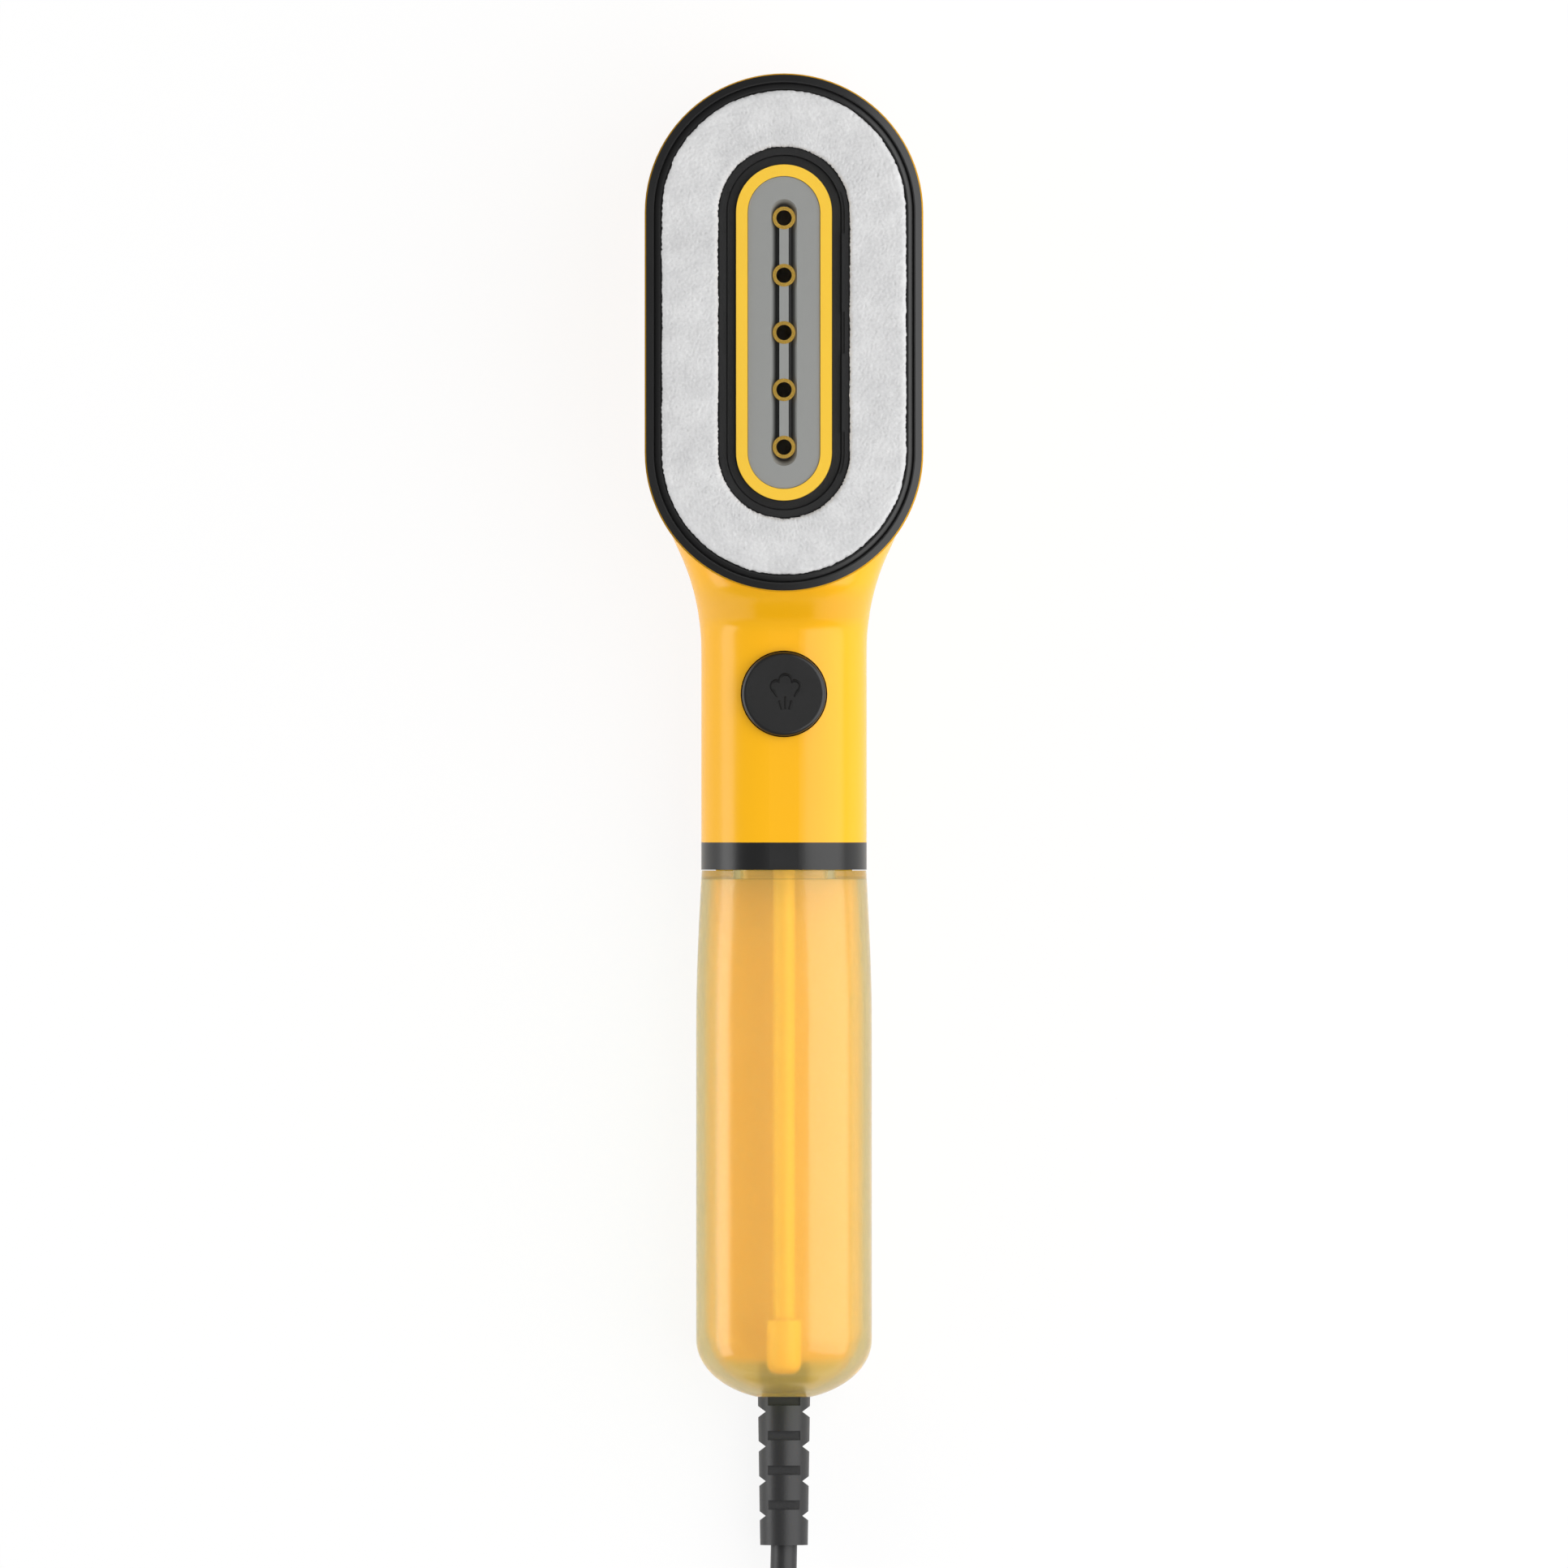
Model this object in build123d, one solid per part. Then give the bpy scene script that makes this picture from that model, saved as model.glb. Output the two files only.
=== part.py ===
from build123d import *
import math
import os

# Handheld garment steamer lying on its back, in millimetres.
# X is across the steamer, Y runs from the cord end to the top of the head, Z is up through the steam face.
# The origin is under the middle of the body, on the surface that it lies on.

# Grip
handle_half_width = 19.4
handle_depth = 40.0
grip_corner = 16.0
handle_bottom_y = -25.0
neck_start_y = 20.0
neck_lead = 6.0
neck_ramp_rise = 4.0
neck_overlap = 5.0
neck_tuck = 2.5
neck_front_step = 0.5
neck_back_tuck = 3.0
shell_wall = 2.2
split_z = 20.0

# Head: every outline on it is a slot shape about the same two centres
head_centre_y = 94.3
head_arc_spacing = 56.2
head_radius = 32.6
head_depth = 50.0
head_back_fillet = 11.0

# Clearances
running_gap = 0.3
seat_gap = 0.1

# Steam face, radii from the slot's centre line and heights above the housing's front
bezel_inset = 0.35
bezel_base = 3.0
bezel_rim_height = 7.0
bezel_rim_width = 1.8
bezel_slope_width = 1.5
bezel_slope_drop = 0.6
bezel_spigot_depth = 4.0
bezel_spigot_wall = 2.0
inner_wall_radius = 13.2
inner_wall_height = 4.6
pad_frame_lip = 1.3
pad_frame_inner_lip = 1.6
pad_frame_floor = 2.0
pad_frame_lip_height = 3.6
pad_frame_slope_width = 1.0
pad_frame_slope_drop = 0.4
pad_notch_width = 0.7
pad_notch_depth = 1.0
pad_notch_length = 9.8
pad_thickness = 3.4
pad_crown = 1.2
ring_seal_radius = 11.2
ring_seal_height = 7.0
ring_seal_flange = 1.6
nozzle_plate_radius = 8.4
nozzle_plate_thickness = 3.6
nozzle_plate_top = 6.6
steam_slot_radius = 3.1
steam_slot_depth = 1.6
steam_groove_radius = 1.75
steam_slot_bar = 2.2
nozzle_count = 5
nozzle_pitch = 13.4
nozzle_ring_radius = 2.65
nozzle_hole_radius = 1.8

# Boiler
boiler_radius = 20.0
boiler_back_z = 9.0
boiler_base_thickness = 15.0
boiler_gasket_thickness = 1.0
boiler_cover_thickness = 11.0
boiler_wall = 6.0
boiler_chamber_depth = 6.0
boiler_roof = 3.0
tower_radius = 7.5
tower_wall = 2.0
heater_rod_radius = 3.0
heater_bend_radius = 9.5
boiler_screw_inset = 3.2
boiler_screw_row = 26.0
mount_post_radius = 2.4
mount_post_row = 12.0
thermostat_radius = 5.0
thermostat_height = 5.0
thermostat_x = 13.0
fuse_radius = 2.0
fuse_length = 14.0

# Pump, on the grip's centre line
pump_floor_gap = 2.4
pump_board_gap = 2.0
hose_bare = 6.2
barb_length = 6.0
barb_radius = 2.4
barb_bore = 1.3
pump_barrel_length = 19.0
pump_barrel_radius = 4.6
piston_radius = 2.9
piston_length = 8.0
pump_spring_wire = 0.7
pump_spring_turns = 4
yoke_plate = 1.6
yoke_floor_gap = 0.95
hose_wall = 1.3
hose_bend = 9.0
hose_slope = 4.0

# Button and switch
button_y = 9.8
button_radius = 9.85
button_proud = 2.3
button_edge = 0.9
button_top_wall = 2.4
button_wall = 2.0
button_flange = 1.6
button_flange_thickness = 1.8
button_travel = 1.8
stem_radius = 1.6
button_spring_radius = 4.4
button_spring_wire = 0.6
button_spring_turns = 4
board_thickness = 1.6
board_half_width = 14.0
board_length = 22.0
board_post_radius = 1.8
board_post_inset = 2.2
switch_width = 5.8
switch_length = 12.8
switch_height = 5.0
carrier_wall = 0.8
carrier_gap = 0.4
plunger_radius = 1.2
plunger_length = 4.0

# Tank dock, the dark band between grip and tank
dock_thickness = 6.4
dock_spigot = 3.0
neck_drop = 11.0
neck_half_height = 6.5
neck_spread = 11.0
neck_wall = 1.6
neck_height = 3.0
seal_thickness = 1.2

# Water tank and the spine that it slides along
tank_bottom_y = -155.0
tank_flare_length = 37.4
tank_top_inset = 0.1
tank_flare = 1.2
tank_swell = 1.5
tank_wall = 2.0
tank_end_wall = 2.5
tank_end_height = 13.5
tank_end_corner = 1.8
tank_gap = 0.2
tank_skirt_z = 7.0
tank_lid_thickness = 2.0
spine_inset = 3.4
spine_end_rise = 7.1
spine_wall = 2.2
suction_tube_radius = 2.5
suction_tube_bore = 1.5
filter_radius = 4.0
filter_length = 12.0
filter_round = 2.0
filter_floor = 4.0
filter_floor_gap = 3.5

# Screws
screw_radius = 1.4
screw_head_radius = 2.6
screw_head_height = 1.8
screw_boss_radius = 3.4
screw_recess_z = 6.0
screw_grip = 12.0
head_boss_inset = 4.4
neck_boss_inset = 5.2
neck_boss_rise = 13.0
spine_screw_x = 9.5
spine_screw_inset = 9.0
spine_screw_recess_z = 5.0
spine_boss_meet_z = 8.0

# Supply cord, its bend relief and the plug
cord_diameter = 6.2
cord_axis_z = 8.25
relief_radius = 6.25
relief_end_radius = 5.6
relief_length = 42.1
relief_flange_radius = 6.0
relief_flange_thickness = 2.0
relief_neck_radius = 4.6
relief_plain = 10.8
relief_pitch = 8.15
relief_notches = 4
relief_notch_depth = 2.0
relief_notch_width = 2.2
relief_slot_width = 7.6
relief_slot_floor = 4.4
relief_slot_offset = 2.6
clamp_inset = 23.9
clamp_half_width = 11.0
clamp_thickness = 1.5
clamp_length = 8.0
clamp_room = 0.15
core_wire_radius = 1.1
core_spread = 8.0
core_bend = 4.4
core_inset = 4.4
cord_route = [
    (0.0, 0.0, 0.0),
    (0.0, -13.0, 0.0),
    (-4.3, -25.6, 0.5),
    (-12.6, -36.2, 1.0),
    (-24.0, -43.4, 1.0),
]
coil_outer_radius = 46.9
coil_turn_gap = 0.6
coil_layer_turns = 3.25
tail_radius = 27.0
tail_turn = 110.0
plug_width = 25.0
plug_height = 13.0
plug_length = 26.0
plug_corner = 4.0
plug_relief_length = 12.0
plug_relief_radius = 5.0
plug_tip_wall = 1.3
plug_rest_gap = 1.4
blade_width = 6.35
blade_thickness = 1.5
blade_length = 17.0
blade_spacing = 12.7
tie_thickness = 0.9
tie_width = 10.0
tie_slack = 0.3
tie_angles = (65.0, 275.0)

# Places and heights that follow from the sizes above
lower_arc_y = head_centre_y - head_arc_spacing / 2
upper_arc_y = head_centre_y + head_arc_spacing / 2
bezel_radius = head_radius - bezel_inset
pad_frame_outer = bezel_radius - bezel_rim_width - running_gap
pad_frame_inner = inner_wall_radius + running_gap
pad_outer_radius = pad_frame_outer - pad_frame_lip - running_gap
pad_inner_radius = pad_frame_inner + pad_frame_inner_lip + running_gap
pad_floor_z = head_depth + bezel_base + seat_gap
pad_seat_z = pad_floor_z + pad_frame_floor
nozzle_top_z = head_depth + nozzle_plate_top
nozzle_back_z = nozzle_top_z - nozzle_plate_thickness

boiler_chamber_radius = boiler_radius - boiler_wall
boiler_end_y = lower_arc_y - boiler_radius
boiler_base_top = boiler_back_z + boiler_base_thickness
boiler_cover_back = boiler_base_top + boiler_gasket_thickness
boiler_cover_top = boiler_cover_back + boiler_cover_thickness
pump_outlet_y = boiler_end_y - barb_length - hose_bare
pump_barrel_y = pump_outlet_y - barb_length - pump_barrel_length
pump_inlet_y = pump_barrel_y - barb_length
pump_yoke_front = pump_barrel_y + yoke_plate
pump_yoke_back = pump_barrel_y + pump_barrel_length - yoke_plate

flange_radius = button_radius + button_flange
flange_reach = flange_radius - (handle_half_width - grip_corner)
flange_rise = math.sqrt((grip_corner - shell_wall) ** 2 - flange_reach**2)
button_flange_z = handle_depth - grip_corner + flange_rise - running_gap
button_bottom_z = button_flange_z - button_flange_thickness
button_top_z = handle_depth + button_proud
button_roof_z = button_top_z - button_top_wall
carrier_top = button_bottom_z - button_travel - carrier_gap
switch_top = carrier_top - carrier_wall - seat_gap
plunger_top = switch_top + button_travel + running_gap
board_top = switch_top - switch_height
board_z = board_top - board_thickness
coil_winding_radius = (board_z - pump_board_gap - shell_wall - pump_floor_gap) / 2
pump_axis_z = shell_wall + pump_floor_gap + coil_winding_radius
yoke_half_width = coil_winding_radius + running_gap + yoke_plate
yoke_reach = yoke_half_width - (handle_half_width - grip_corner)
yoke_wall_z = grip_corner - math.sqrt((grip_corner - shell_wall) ** 2 - yoke_reach**2)
yoke_half_depth = pump_axis_z - yoke_wall_z - yoke_floor_gap

cord_radius = cord_diameter / 2
clamp_bottom_z = cord_axis_z + seat_gap
clamp_top_z = cord_axis_z + cord_radius + clamp_thickness
clamp_screw_x = (clamp_half_width + cord_radius) / 2
spine_half_width = handle_half_width - spine_inset
spine_depth = clamp_top_z + screw_head_height + clamp_room + spine_wall
spine_end_y = tank_bottom_y + spine_end_rise
clamp_y = spine_end_y + clamp_inset
relief_end_y = spine_end_y - relief_length
relief_first_notch_y = spine_end_y - relief_plain
dock_bottom_y = handle_bottom_y - dock_thickness
tank_top_y = dock_bottom_y - tank_gap
tank_flare_y = tank_top_y - tank_flare_length
tank_top_half_width = handle_half_width - tank_top_inset
tank_half_width = handle_half_width + tank_flare
tank_depth = handle_depth + tank_swell
neck_z = handle_depth - neck_drop
coil_pitch = cord_diameter + coil_turn_gap
coil_z = cord_radius + tie_slack + tie_thickness
reach = 400.0


def block(x0, x1, y0, y1, z0, z1):
    """A box between two opposite corners."""
    return Pos((x0 + x1) / 2, (y0 + y1) / 2, (z0 + z1) / 2) * Box(x1 - x0, y1 - y0, z1 - z0)


def rod_z(x, y, z0, z1, radius):
    """An upright round bar."""
    return Pos(x, y, (z0 + z1) / 2) * Cylinder(radius, z1 - z0)


def rod_y(x, z, y0, y1, radius):
    """A round bar along the steamer."""
    return Pos(x, (y0 + y1) / 2, z) * Rot(90, 0, 0) * Cylinder(radius, y1 - y0)


def slot_outline(radius, z):
    """The head's slot outline at one height."""
    return Pos(0, head_centre_y, z) * Rot(0, 0, 90) * SlotCenterToCenter(head_arc_spacing, 2 * radius)


def slot_plate(radius, z0, z1):
    """A plate with the head's slot outline."""
    return extrude(slot_outline(radius, z0), amount=z1 - z0)


def slot_slope(radius, z_top, width, drop):
    """A plate with the head's slot outline that narrows by a width as it rises by a drop."""
    return loft([slot_outline(radius, z_top - drop), slot_outline(radius - width, z_top)], ruled=True)


def slot_ring(outer, inner, z0, z1):
    """A ring between two of the head's slot outlines."""
    return slot_plate(outer, z0, z1) - slot_plate(inner, z0 - 1, z1 + 1)


def grip_section(y, half_width, depth, corner, inset, back_z=0.0):
    """The rounded section across the steamer at one place along it, moved in by a wall."""
    outline = RectangleRounded(2 * (half_width - inset), depth - back_z - 2 * inset, corner - inset)
    return Plane.XZ.offset(-y) * Pos(0, (depth + back_z) / 2) * outline


def grip_bar(y_top, y_bottom, inset):
    """A straight length of the grip's section."""
    face = grip_section(y_top, handle_half_width, handle_depth, grip_corner, inset)
    return extrude(face, amount=y_top - y_bottom)


def cross_slot(y_top, y_bottom, half_height):
    """The filler neck's outline, run along the steamer."""
    outline = Plane.XZ.offset(-y_top) * Pos(0, neck_z) * SlotCenterToCenter(neck_spread, 2 * half_height)
    return extrude(outline, amount=y_top - y_bottom)


def smooth(t):
    """An S-shaped rise from 0 to 1, level at both ends."""
    return t * t * (3 - 2 * t)


def group(solids):
    """Like pieces that share one node."""
    return Compound(children=list(solids))


def save(shape, node):
    export_step(shape, "parts/" + node + ".step")


os.makedirs("parts", exist_ok=True)

# Housing: the grip widens on an arc that is tangent to the head's lower arc
neck_rise = lower_arc_y - neck_start_y
neck_arc = (handle_half_width**2 + neck_rise**2 - head_radius**2) / (2 * (head_radius - handle_half_width))
neck_tangent = head_radius / (head_radius + neck_arc)
neck_meets_y = lower_arc_y - neck_tangent * neck_rise
neck_tuck_y = neck_meets_y - neck_overlap
neck_end_y = neck_meets_y + neck_overlap
neck_base_y = neck_start_y - neck_lead
neck_ramp_y = neck_start_y + neck_ramp_rise
neck_ramp_end_y = lower_arc_y - head_radius + shell_wall


def neck_section(y, inset):
    """The neck follows its arc, then tucks in so that it runs into the head at a shallow angle."""
    rise = max(0.0, y - neck_start_y)
    half_width = handle_half_width + neck_arc - math.sqrt(neck_arc**2 - rise**2)
    tuck = max(0.0, y - neck_tuck_y) / (neck_end_y - neck_tuck_y)
    share = min(1.0, max(0.0, y - neck_ramp_y) / (neck_ramp_end_y - neck_ramp_y))
    depth = handle_depth + (head_depth - neck_front_step - handle_depth) * smooth(share)
    back_share = max(0.0, y - neck_ramp_end_y) / (neck_end_y - neck_ramp_end_y)
    back_z = neck_back_tuck * back_share**2
    return grip_section(y, half_width - neck_tuck * tuck**2, depth, grip_corner, inset, back_z)


def housing_pieces(inset):
    """Head, neck and grip of the housing's outside, or of its inside when moved in by the wall."""
    stations = 14
    step = (neck_end_y - neck_base_y) / (stations - 1)
    neck = loft([neck_section(neck_base_y + step * i, inset) for i in range(stations)])
    head = slot_plate(head_radius - inset, inset, head_depth + inset)
    head = fillet(head.edges().group_by(Axis.Z)[0], head_back_fillet - inset)
    return [head, neck, grip_bar(neck_base_y, handle_bottom_y - inset, inset)]


head_outside, neck_outside, grip_outside = housing_pieces(0)
head_inside, neck_inside, grip_inside = housing_pieces(shell_wall)
between_faces = block(-reach, reach, -reach, reach, 0, head_depth)
housing_outside = (head_outside + neck_outside + grip_outside) & between_faces
shell = housing_outside - neck_inside - head_inside - grip_inside
above_split = block(-reach, reach, -reach, reach, split_z, reach)
below_split = block(-reach, reach, -reach, reach, -reach, split_z)

head_boss_offset = (head_radius - head_boss_inset) / math.sqrt(2)
neck_boss_x = handle_half_width - neck_boss_inset
neck_boss_y = neck_start_y + neck_boss_rise
screw_places = [
    (side * head_boss_offset, upper_arc_y + head_boss_offset) for side in (-1, 1)
] + [(side * neck_boss_x, neck_boss_y) for side in (-1, 1)]
board_places = [
    (side * (board_half_width - board_post_inset), button_y + end * (board_length / 2 - board_post_inset))
    for side in (-1, 1)
    for end in (-1, 1)
]
spine_screw_places = [
    (side * spine_screw_x, y)
    for side in (-1, 1)
    for y in (dock_bottom_y - spine_screw_inset, spine_end_y + spine_screw_inset)
]


def front_shell():
    bosses = [rod_z(x, y, split_z, head_depth, screw_boss_radius) for x, y in screw_places]
    posts = [rod_z(x, y, board_top, handle_depth, board_post_radius) for x, y in board_places]
    body = shell & above_split
    for post in bosses + posts:
        body += post & housing_outside
    spigot_back_z = head_depth - bezel_spigot_depth - seat_gap
    spigot_room = slot_plate(head_radius - shell_wall, spigot_back_z, head_depth + 1)
    for x, y in screw_places:
        body -= rod_z(x, y, split_z - 1, split_z + screw_grip, screw_radius)
    body -= rod_z(0, button_y, split_z, reach / 4, button_radius + running_gap)
    return body - (spigot_room & head_inside)


def rear_shell():
    body = shell & below_split
    for x, y in screw_places:
        body += rod_z(x, y, 0, split_z, screw_boss_radius) & housing_outside
    for x, y in screw_places:
        body -= rod_z(x, y, -1, split_z + 1, screw_radius + seat_gap)
        body -= rod_z(x, y, -1, screw_recess_z, screw_head_radius + seat_gap)
    spine_reach = block(-spine_half_width, spine_half_width, -reach, reach, -1, spine_depth - spine_wall)
    channel_half_width = spine_half_width - spine_wall
    channel_reach = block(-channel_half_width, channel_half_width, -reach, reach, -1, reach)
    spine = grip_bar(handle_bottom_y, spine_end_y, 0) & spine_reach
    channel = grip_bar(handle_bottom_y + 1, spine_end_y + spine_wall, spine_wall) & channel_reach
    body += spine
    body -= channel
    for y in (pump_yoke_front, pump_yoke_back - yoke_plate):
        rib = block(-barb_length, barb_length, y, y + yoke_plate, 0, pump_axis_z - yoke_half_depth)
        body += rib & housing_outside
    for x, y in spine_screw_places:
        body += spine_boss(x, y, spine_boss_meet_z)
        body -= rod_z(x, y, -1, reach, screw_radius + seat_gap)
        body -= rod_z(x, y, -1, spine_screw_recess_z, screw_head_radius + seat_gap)
    for side in (-1, 1):
        body += spine_boss(side * clamp_screw_x, clamp_y, clamp_bottom_z)
        body -= rod_z(side * clamp_screw_x, clamp_y, spine_wall, reach, screw_radius)
    relief_hole = relief_neck_radius + seat_gap
    return body - rod_y(0, cord_axis_z, spine_end_y - 1, spine_end_y + spine_wall + 1, relief_hole)


def spine_boss(x, y, top_z):
    """A screw boss that stands on the floor of the cord channel."""
    return rod_z(x, y, 0, top_z, screw_boss_radius) & grip_bar(handle_bottom_y, spine_end_y, 0)


save(front_shell(), "front_shell")
save(rear_shell(), "rear_shell")


# Spine cover: the flat lid of the cord channel, seen through the tank
def spine_cover():
    back_z = spine_depth - spine_wall
    top = block(-spine_half_width, spine_half_width, spine_end_y, handle_bottom_y, back_z, spine_depth)
    for x, y in spine_screw_places:
        top += rod_z(x, y, spine_boss_meet_z, back_z, screw_boss_radius)
        top -= rod_z(x, y, 0, back_z, screw_radius)
    return top


save(spine_cover(), "spine_cover")


def flat_screw(x, y, head_z, tip_z):
    """A screw with a round head on its upper end, or on its lower end when the tip is above the head."""
    way = 1 if head_z > tip_z else -1
    head_far = head_z + way * screw_head_height
    head = rod_z(x, y, min(head_z, head_far), max(head_z, head_far), screw_head_radius)
    shank = rod_z(x, y, min(head_z, tip_z), max(head_z, tip_z), screw_radius - seat_gap)
    return head + shank


housing_screws = [
    flat_screw(x, y, screw_recess_z, split_z + screw_grip - 1) for x, y in screw_places
]
save(group(housing_screws), "housing_screws")

spine_screws = [
    flat_screw(x, y, spine_screw_recess_z, spine_depth - spine_wall - 1) for x, y in spine_screw_places
]
save(group(spine_screws), "spine_screws")

# Steam face: bezel, pad on its frame, yellow ring and nozzle plate
mount_x = boiler_radius - boiler_screw_inset
mount_places = [(side * mount_x, head_centre_y + end * mount_post_row) for side in (-1, 1) for end in (-1, 1)]
nozzle_places = [head_centre_y + nozzle_pitch * (i - (nozzle_count - 1) / 2) for i in range(nozzle_count)]


def face_plate():
    rim_top = head_depth + bezel_rim_height
    body = slot_plate(bezel_radius, head_depth, rim_top - bezel_slope_drop)
    body += slot_slope(bezel_radius, rim_top, bezel_slope_width, bezel_slope_drop)
    body -= slot_plate(bezel_radius - bezel_rim_width, head_depth + bezel_base, reach)
    body += slot_plate(inner_wall_radius, head_depth, head_depth + inner_wall_height)
    spigot = head_radius - shell_wall - seat_gap
    body += slot_ring(spigot, spigot - bezel_spigot_wall, head_depth - bezel_spigot_depth, head_depth)
    for x, y in mount_places:
        body += rod_z(x, y, boiler_cover_top, head_depth, mount_post_radius)
    return body - slot_plate(ring_seal_radius + seat_gap, -reach, reach)


def pad_frame():
    """A channel that the pad lies in, with notches in its inner lip where it is lifted off."""
    lip_top = pad_floor_z + pad_frame_lip_height
    body = slot_plate(pad_frame_outer, pad_floor_z, lip_top - pad_frame_slope_drop)
    body += slot_slope(pad_frame_outer, lip_top, pad_frame_slope_width, pad_frame_slope_drop)
    body -= slot_plate(pad_frame_outer - pad_frame_lip, pad_seat_z, reach)
    body -= slot_plate(pad_frame_inner, 0, reach)
    body += slot_ring(pad_inner_radius - running_gap, pad_frame_inner, pad_floor_z, lip_top)
    notch_room = slot_plate(pad_frame_inner + pad_notch_width, lip_top - pad_notch_depth, lip_top + 1)
    half = pad_notch_length / 2
    for y in (lower_arc_y, head_centre_y, upper_arc_y):
        body -= notch_room & block(-reach, reach, y - half, y + half, 0, reach)
    return body


def fabric_pad():
    pad = slot_ring(pad_outer_radius, pad_inner_radius, pad_seat_z, pad_seat_z + pad_thickness)
    return fillet(pad.edges().group_by(Axis.Z)[-1], pad_crown)


def ring_seal():
    inner = nozzle_plate_radius + seat_gap
    flange_back = head_depth - ring_seal_flange
    ring = slot_ring(ring_seal_radius, inner, flange_back, head_depth + ring_seal_height)
    return ring + slot_ring(ring_seal_radius + ring_seal_flange, inner, flange_back, head_depth)


def nozzle_plate():
    slot_floor = nozzle_top_z - steam_slot_depth
    plate = slot_plate(nozzle_plate_radius, nozzle_back_z, nozzle_top_z)
    groove = slot_outline(steam_groove_radius, slot_floor)
    plate -= loft([groove, slot_outline(steam_slot_radius, nozzle_top_z)])
    half_bar = steam_slot_bar / 2
    bar_top = nozzle_top_z - seat_gap
    plate += block(-half_bar, half_bar, nozzle_places[0], nozzle_places[-1], slot_floor, bar_top)
    for y in nozzle_places:
        plate -= rod_z(0, y, nozzle_back_z - 1, reach, nozzle_ring_radius)
    return plate


def nozzle_eyelet(y):
    ring = rod_z(0, y, nozzle_back_z, nozzle_top_z, nozzle_ring_radius)
    return ring - rod_z(0, y, 0, reach, nozzle_hole_radius)


save(face_plate(), "face_plate")
save(pad_frame(), "pad_frame")
save(fabric_pad(), "fabric_pad")
save(ring_seal(), "ring_seal")
save(nozzle_plate(), "nozzle_plate")
save(group([nozzle_eyelet(y) for y in nozzle_places]), "nozzle_eyelets")

# Boiler: cast base with a heater rod, gasket and cover with the steam tower
boiler_screw_places = [
    (side * mount_x, head_centre_y + end * boiler_screw_row) for side in (-1, 1) for end in (-1, 1)
] + [(0, upper_arc_y + mount_x), (0, lower_arc_y - mount_x)]


def boiler_screw_holes():
    return [rod_z(x, y, boiler_back_z - 1, reach, screw_radius + seat_gap) for x, y in boiler_screw_places]


def heater_rod(radius):
    """A rod bent to a hairpin that lies half sunk in the back of the base."""
    leg = heater_bend_radius
    right = Line((leg, boiler_end_y, boiler_back_z), (leg, upper_arc_y, boiler_back_z))
    bend = ThreePointArc(right @ 1, (0, upper_arc_y + leg, boiler_back_z), (-leg, upper_arc_y, boiler_back_z))
    left = Line(bend @ 1, (-leg, boiler_end_y, boiler_back_z))
    path = Wire([right, bend, left])
    return sweep(Plane(origin=right @ 0, z_dir=right % 0) * Circle(radius), path=path)


def boiler_base():
    body = slot_plate(boiler_radius, boiler_back_z, boiler_base_top)
    body -= slot_plate(boiler_chamber_radius, boiler_base_top - boiler_chamber_depth, reach)
    body -= heater_rod(heater_rod_radius + seat_gap)
    for hole in boiler_screw_holes():
        body -= hole
    body += rod_y(0, pump_axis_z, boiler_end_y - barb_length, boiler_end_y + 1, barb_radius)
    body -= rod_y(0, pump_axis_z, boiler_end_y - barb_length - 1, lower_arc_y, barb_bore)
    return body - rod_z(0, lower_arc_y - barb_bore, pump_axis_z, boiler_base_top, barb_bore)


def boiler_gasket():
    body = slot_ring(boiler_radius, boiler_chamber_radius, boiler_base_top, boiler_cover_back)
    for hole in boiler_screw_holes():
        body -= hole
    return body


def boiler_cover():
    body = slot_plate(boiler_radius, boiler_cover_back, boiler_cover_top)
    body += slot_plate(tower_radius, boiler_cover_top, nozzle_back_z)
    body -= slot_plate(boiler_chamber_radius, 0, boiler_cover_top - boiler_roof)
    body -= slot_plate(tower_radius - tower_wall, 0, reach)
    for hole in boiler_screw_holes():
        body -= hole
    return body


def boiler_screw(x, y):
    return flat_screw(x, y, boiler_cover_top, boiler_base_top - boiler_chamber_depth)


def thermal_fuse():
    y0 = head_centre_y - fuse_length / 2
    return rod_y(-thermostat_x, boiler_cover_top + fuse_radius, y0, y0 + fuse_length, fuse_radius)


thermostat_top = boiler_cover_top + thermostat_height
thermostat = rod_z(thermostat_x, head_centre_y, boiler_cover_top, thermostat_top, thermostat_radius)
save(boiler_base(), "boiler_base")
save(boiler_gasket(), "boiler_gasket")
save(boiler_cover(), "boiler_cover")
save(heater_rod(heater_rod_radius), "heater_rod")
save(group([boiler_screw(x, y) for x, y in boiler_screw_places]), "boiler_screws")
save(thermostat, "thermostat")
save(thermal_fuse(), "thermal_fuse")


# Pump: a piston in a barrel, driven by a winding in a steel yoke
def barb_pipe(z, y0, y1):
    return rod_y(0, z, y0, y1, barb_radius)


def pump_barrel():
    z = pump_axis_z
    body = rod_y(0, z, pump_barrel_y, pump_barrel_y + pump_barrel_length, pump_barrel_radius)
    body += barb_pipe(z, pump_inlet_y, pump_outlet_y)
    body -= rod_y(0, z, piston_y - running_gap, pump_spring_end_y, piston_radius + running_gap)
    return body - rod_y(0, z, pump_inlet_y - 1, pump_outlet_y + 1, barb_bore)


def pump_yoke():
    z0 = pump_axis_z - yoke_half_depth
    z1 = pump_axis_z + yoke_half_depth
    inner = yoke_half_width - yoke_plate
    body = block(-yoke_half_width, yoke_half_width, pump_yoke_front, pump_yoke_back, z0, z1)
    body -= block(-inner, inner, pump_yoke_front + yoke_plate, pump_yoke_back - yoke_plate, z0 - 1, z1 + 1)
    return body - rod_y(0, pump_axis_z, 0, reach, pump_barrel_radius + seat_gap)


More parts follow.
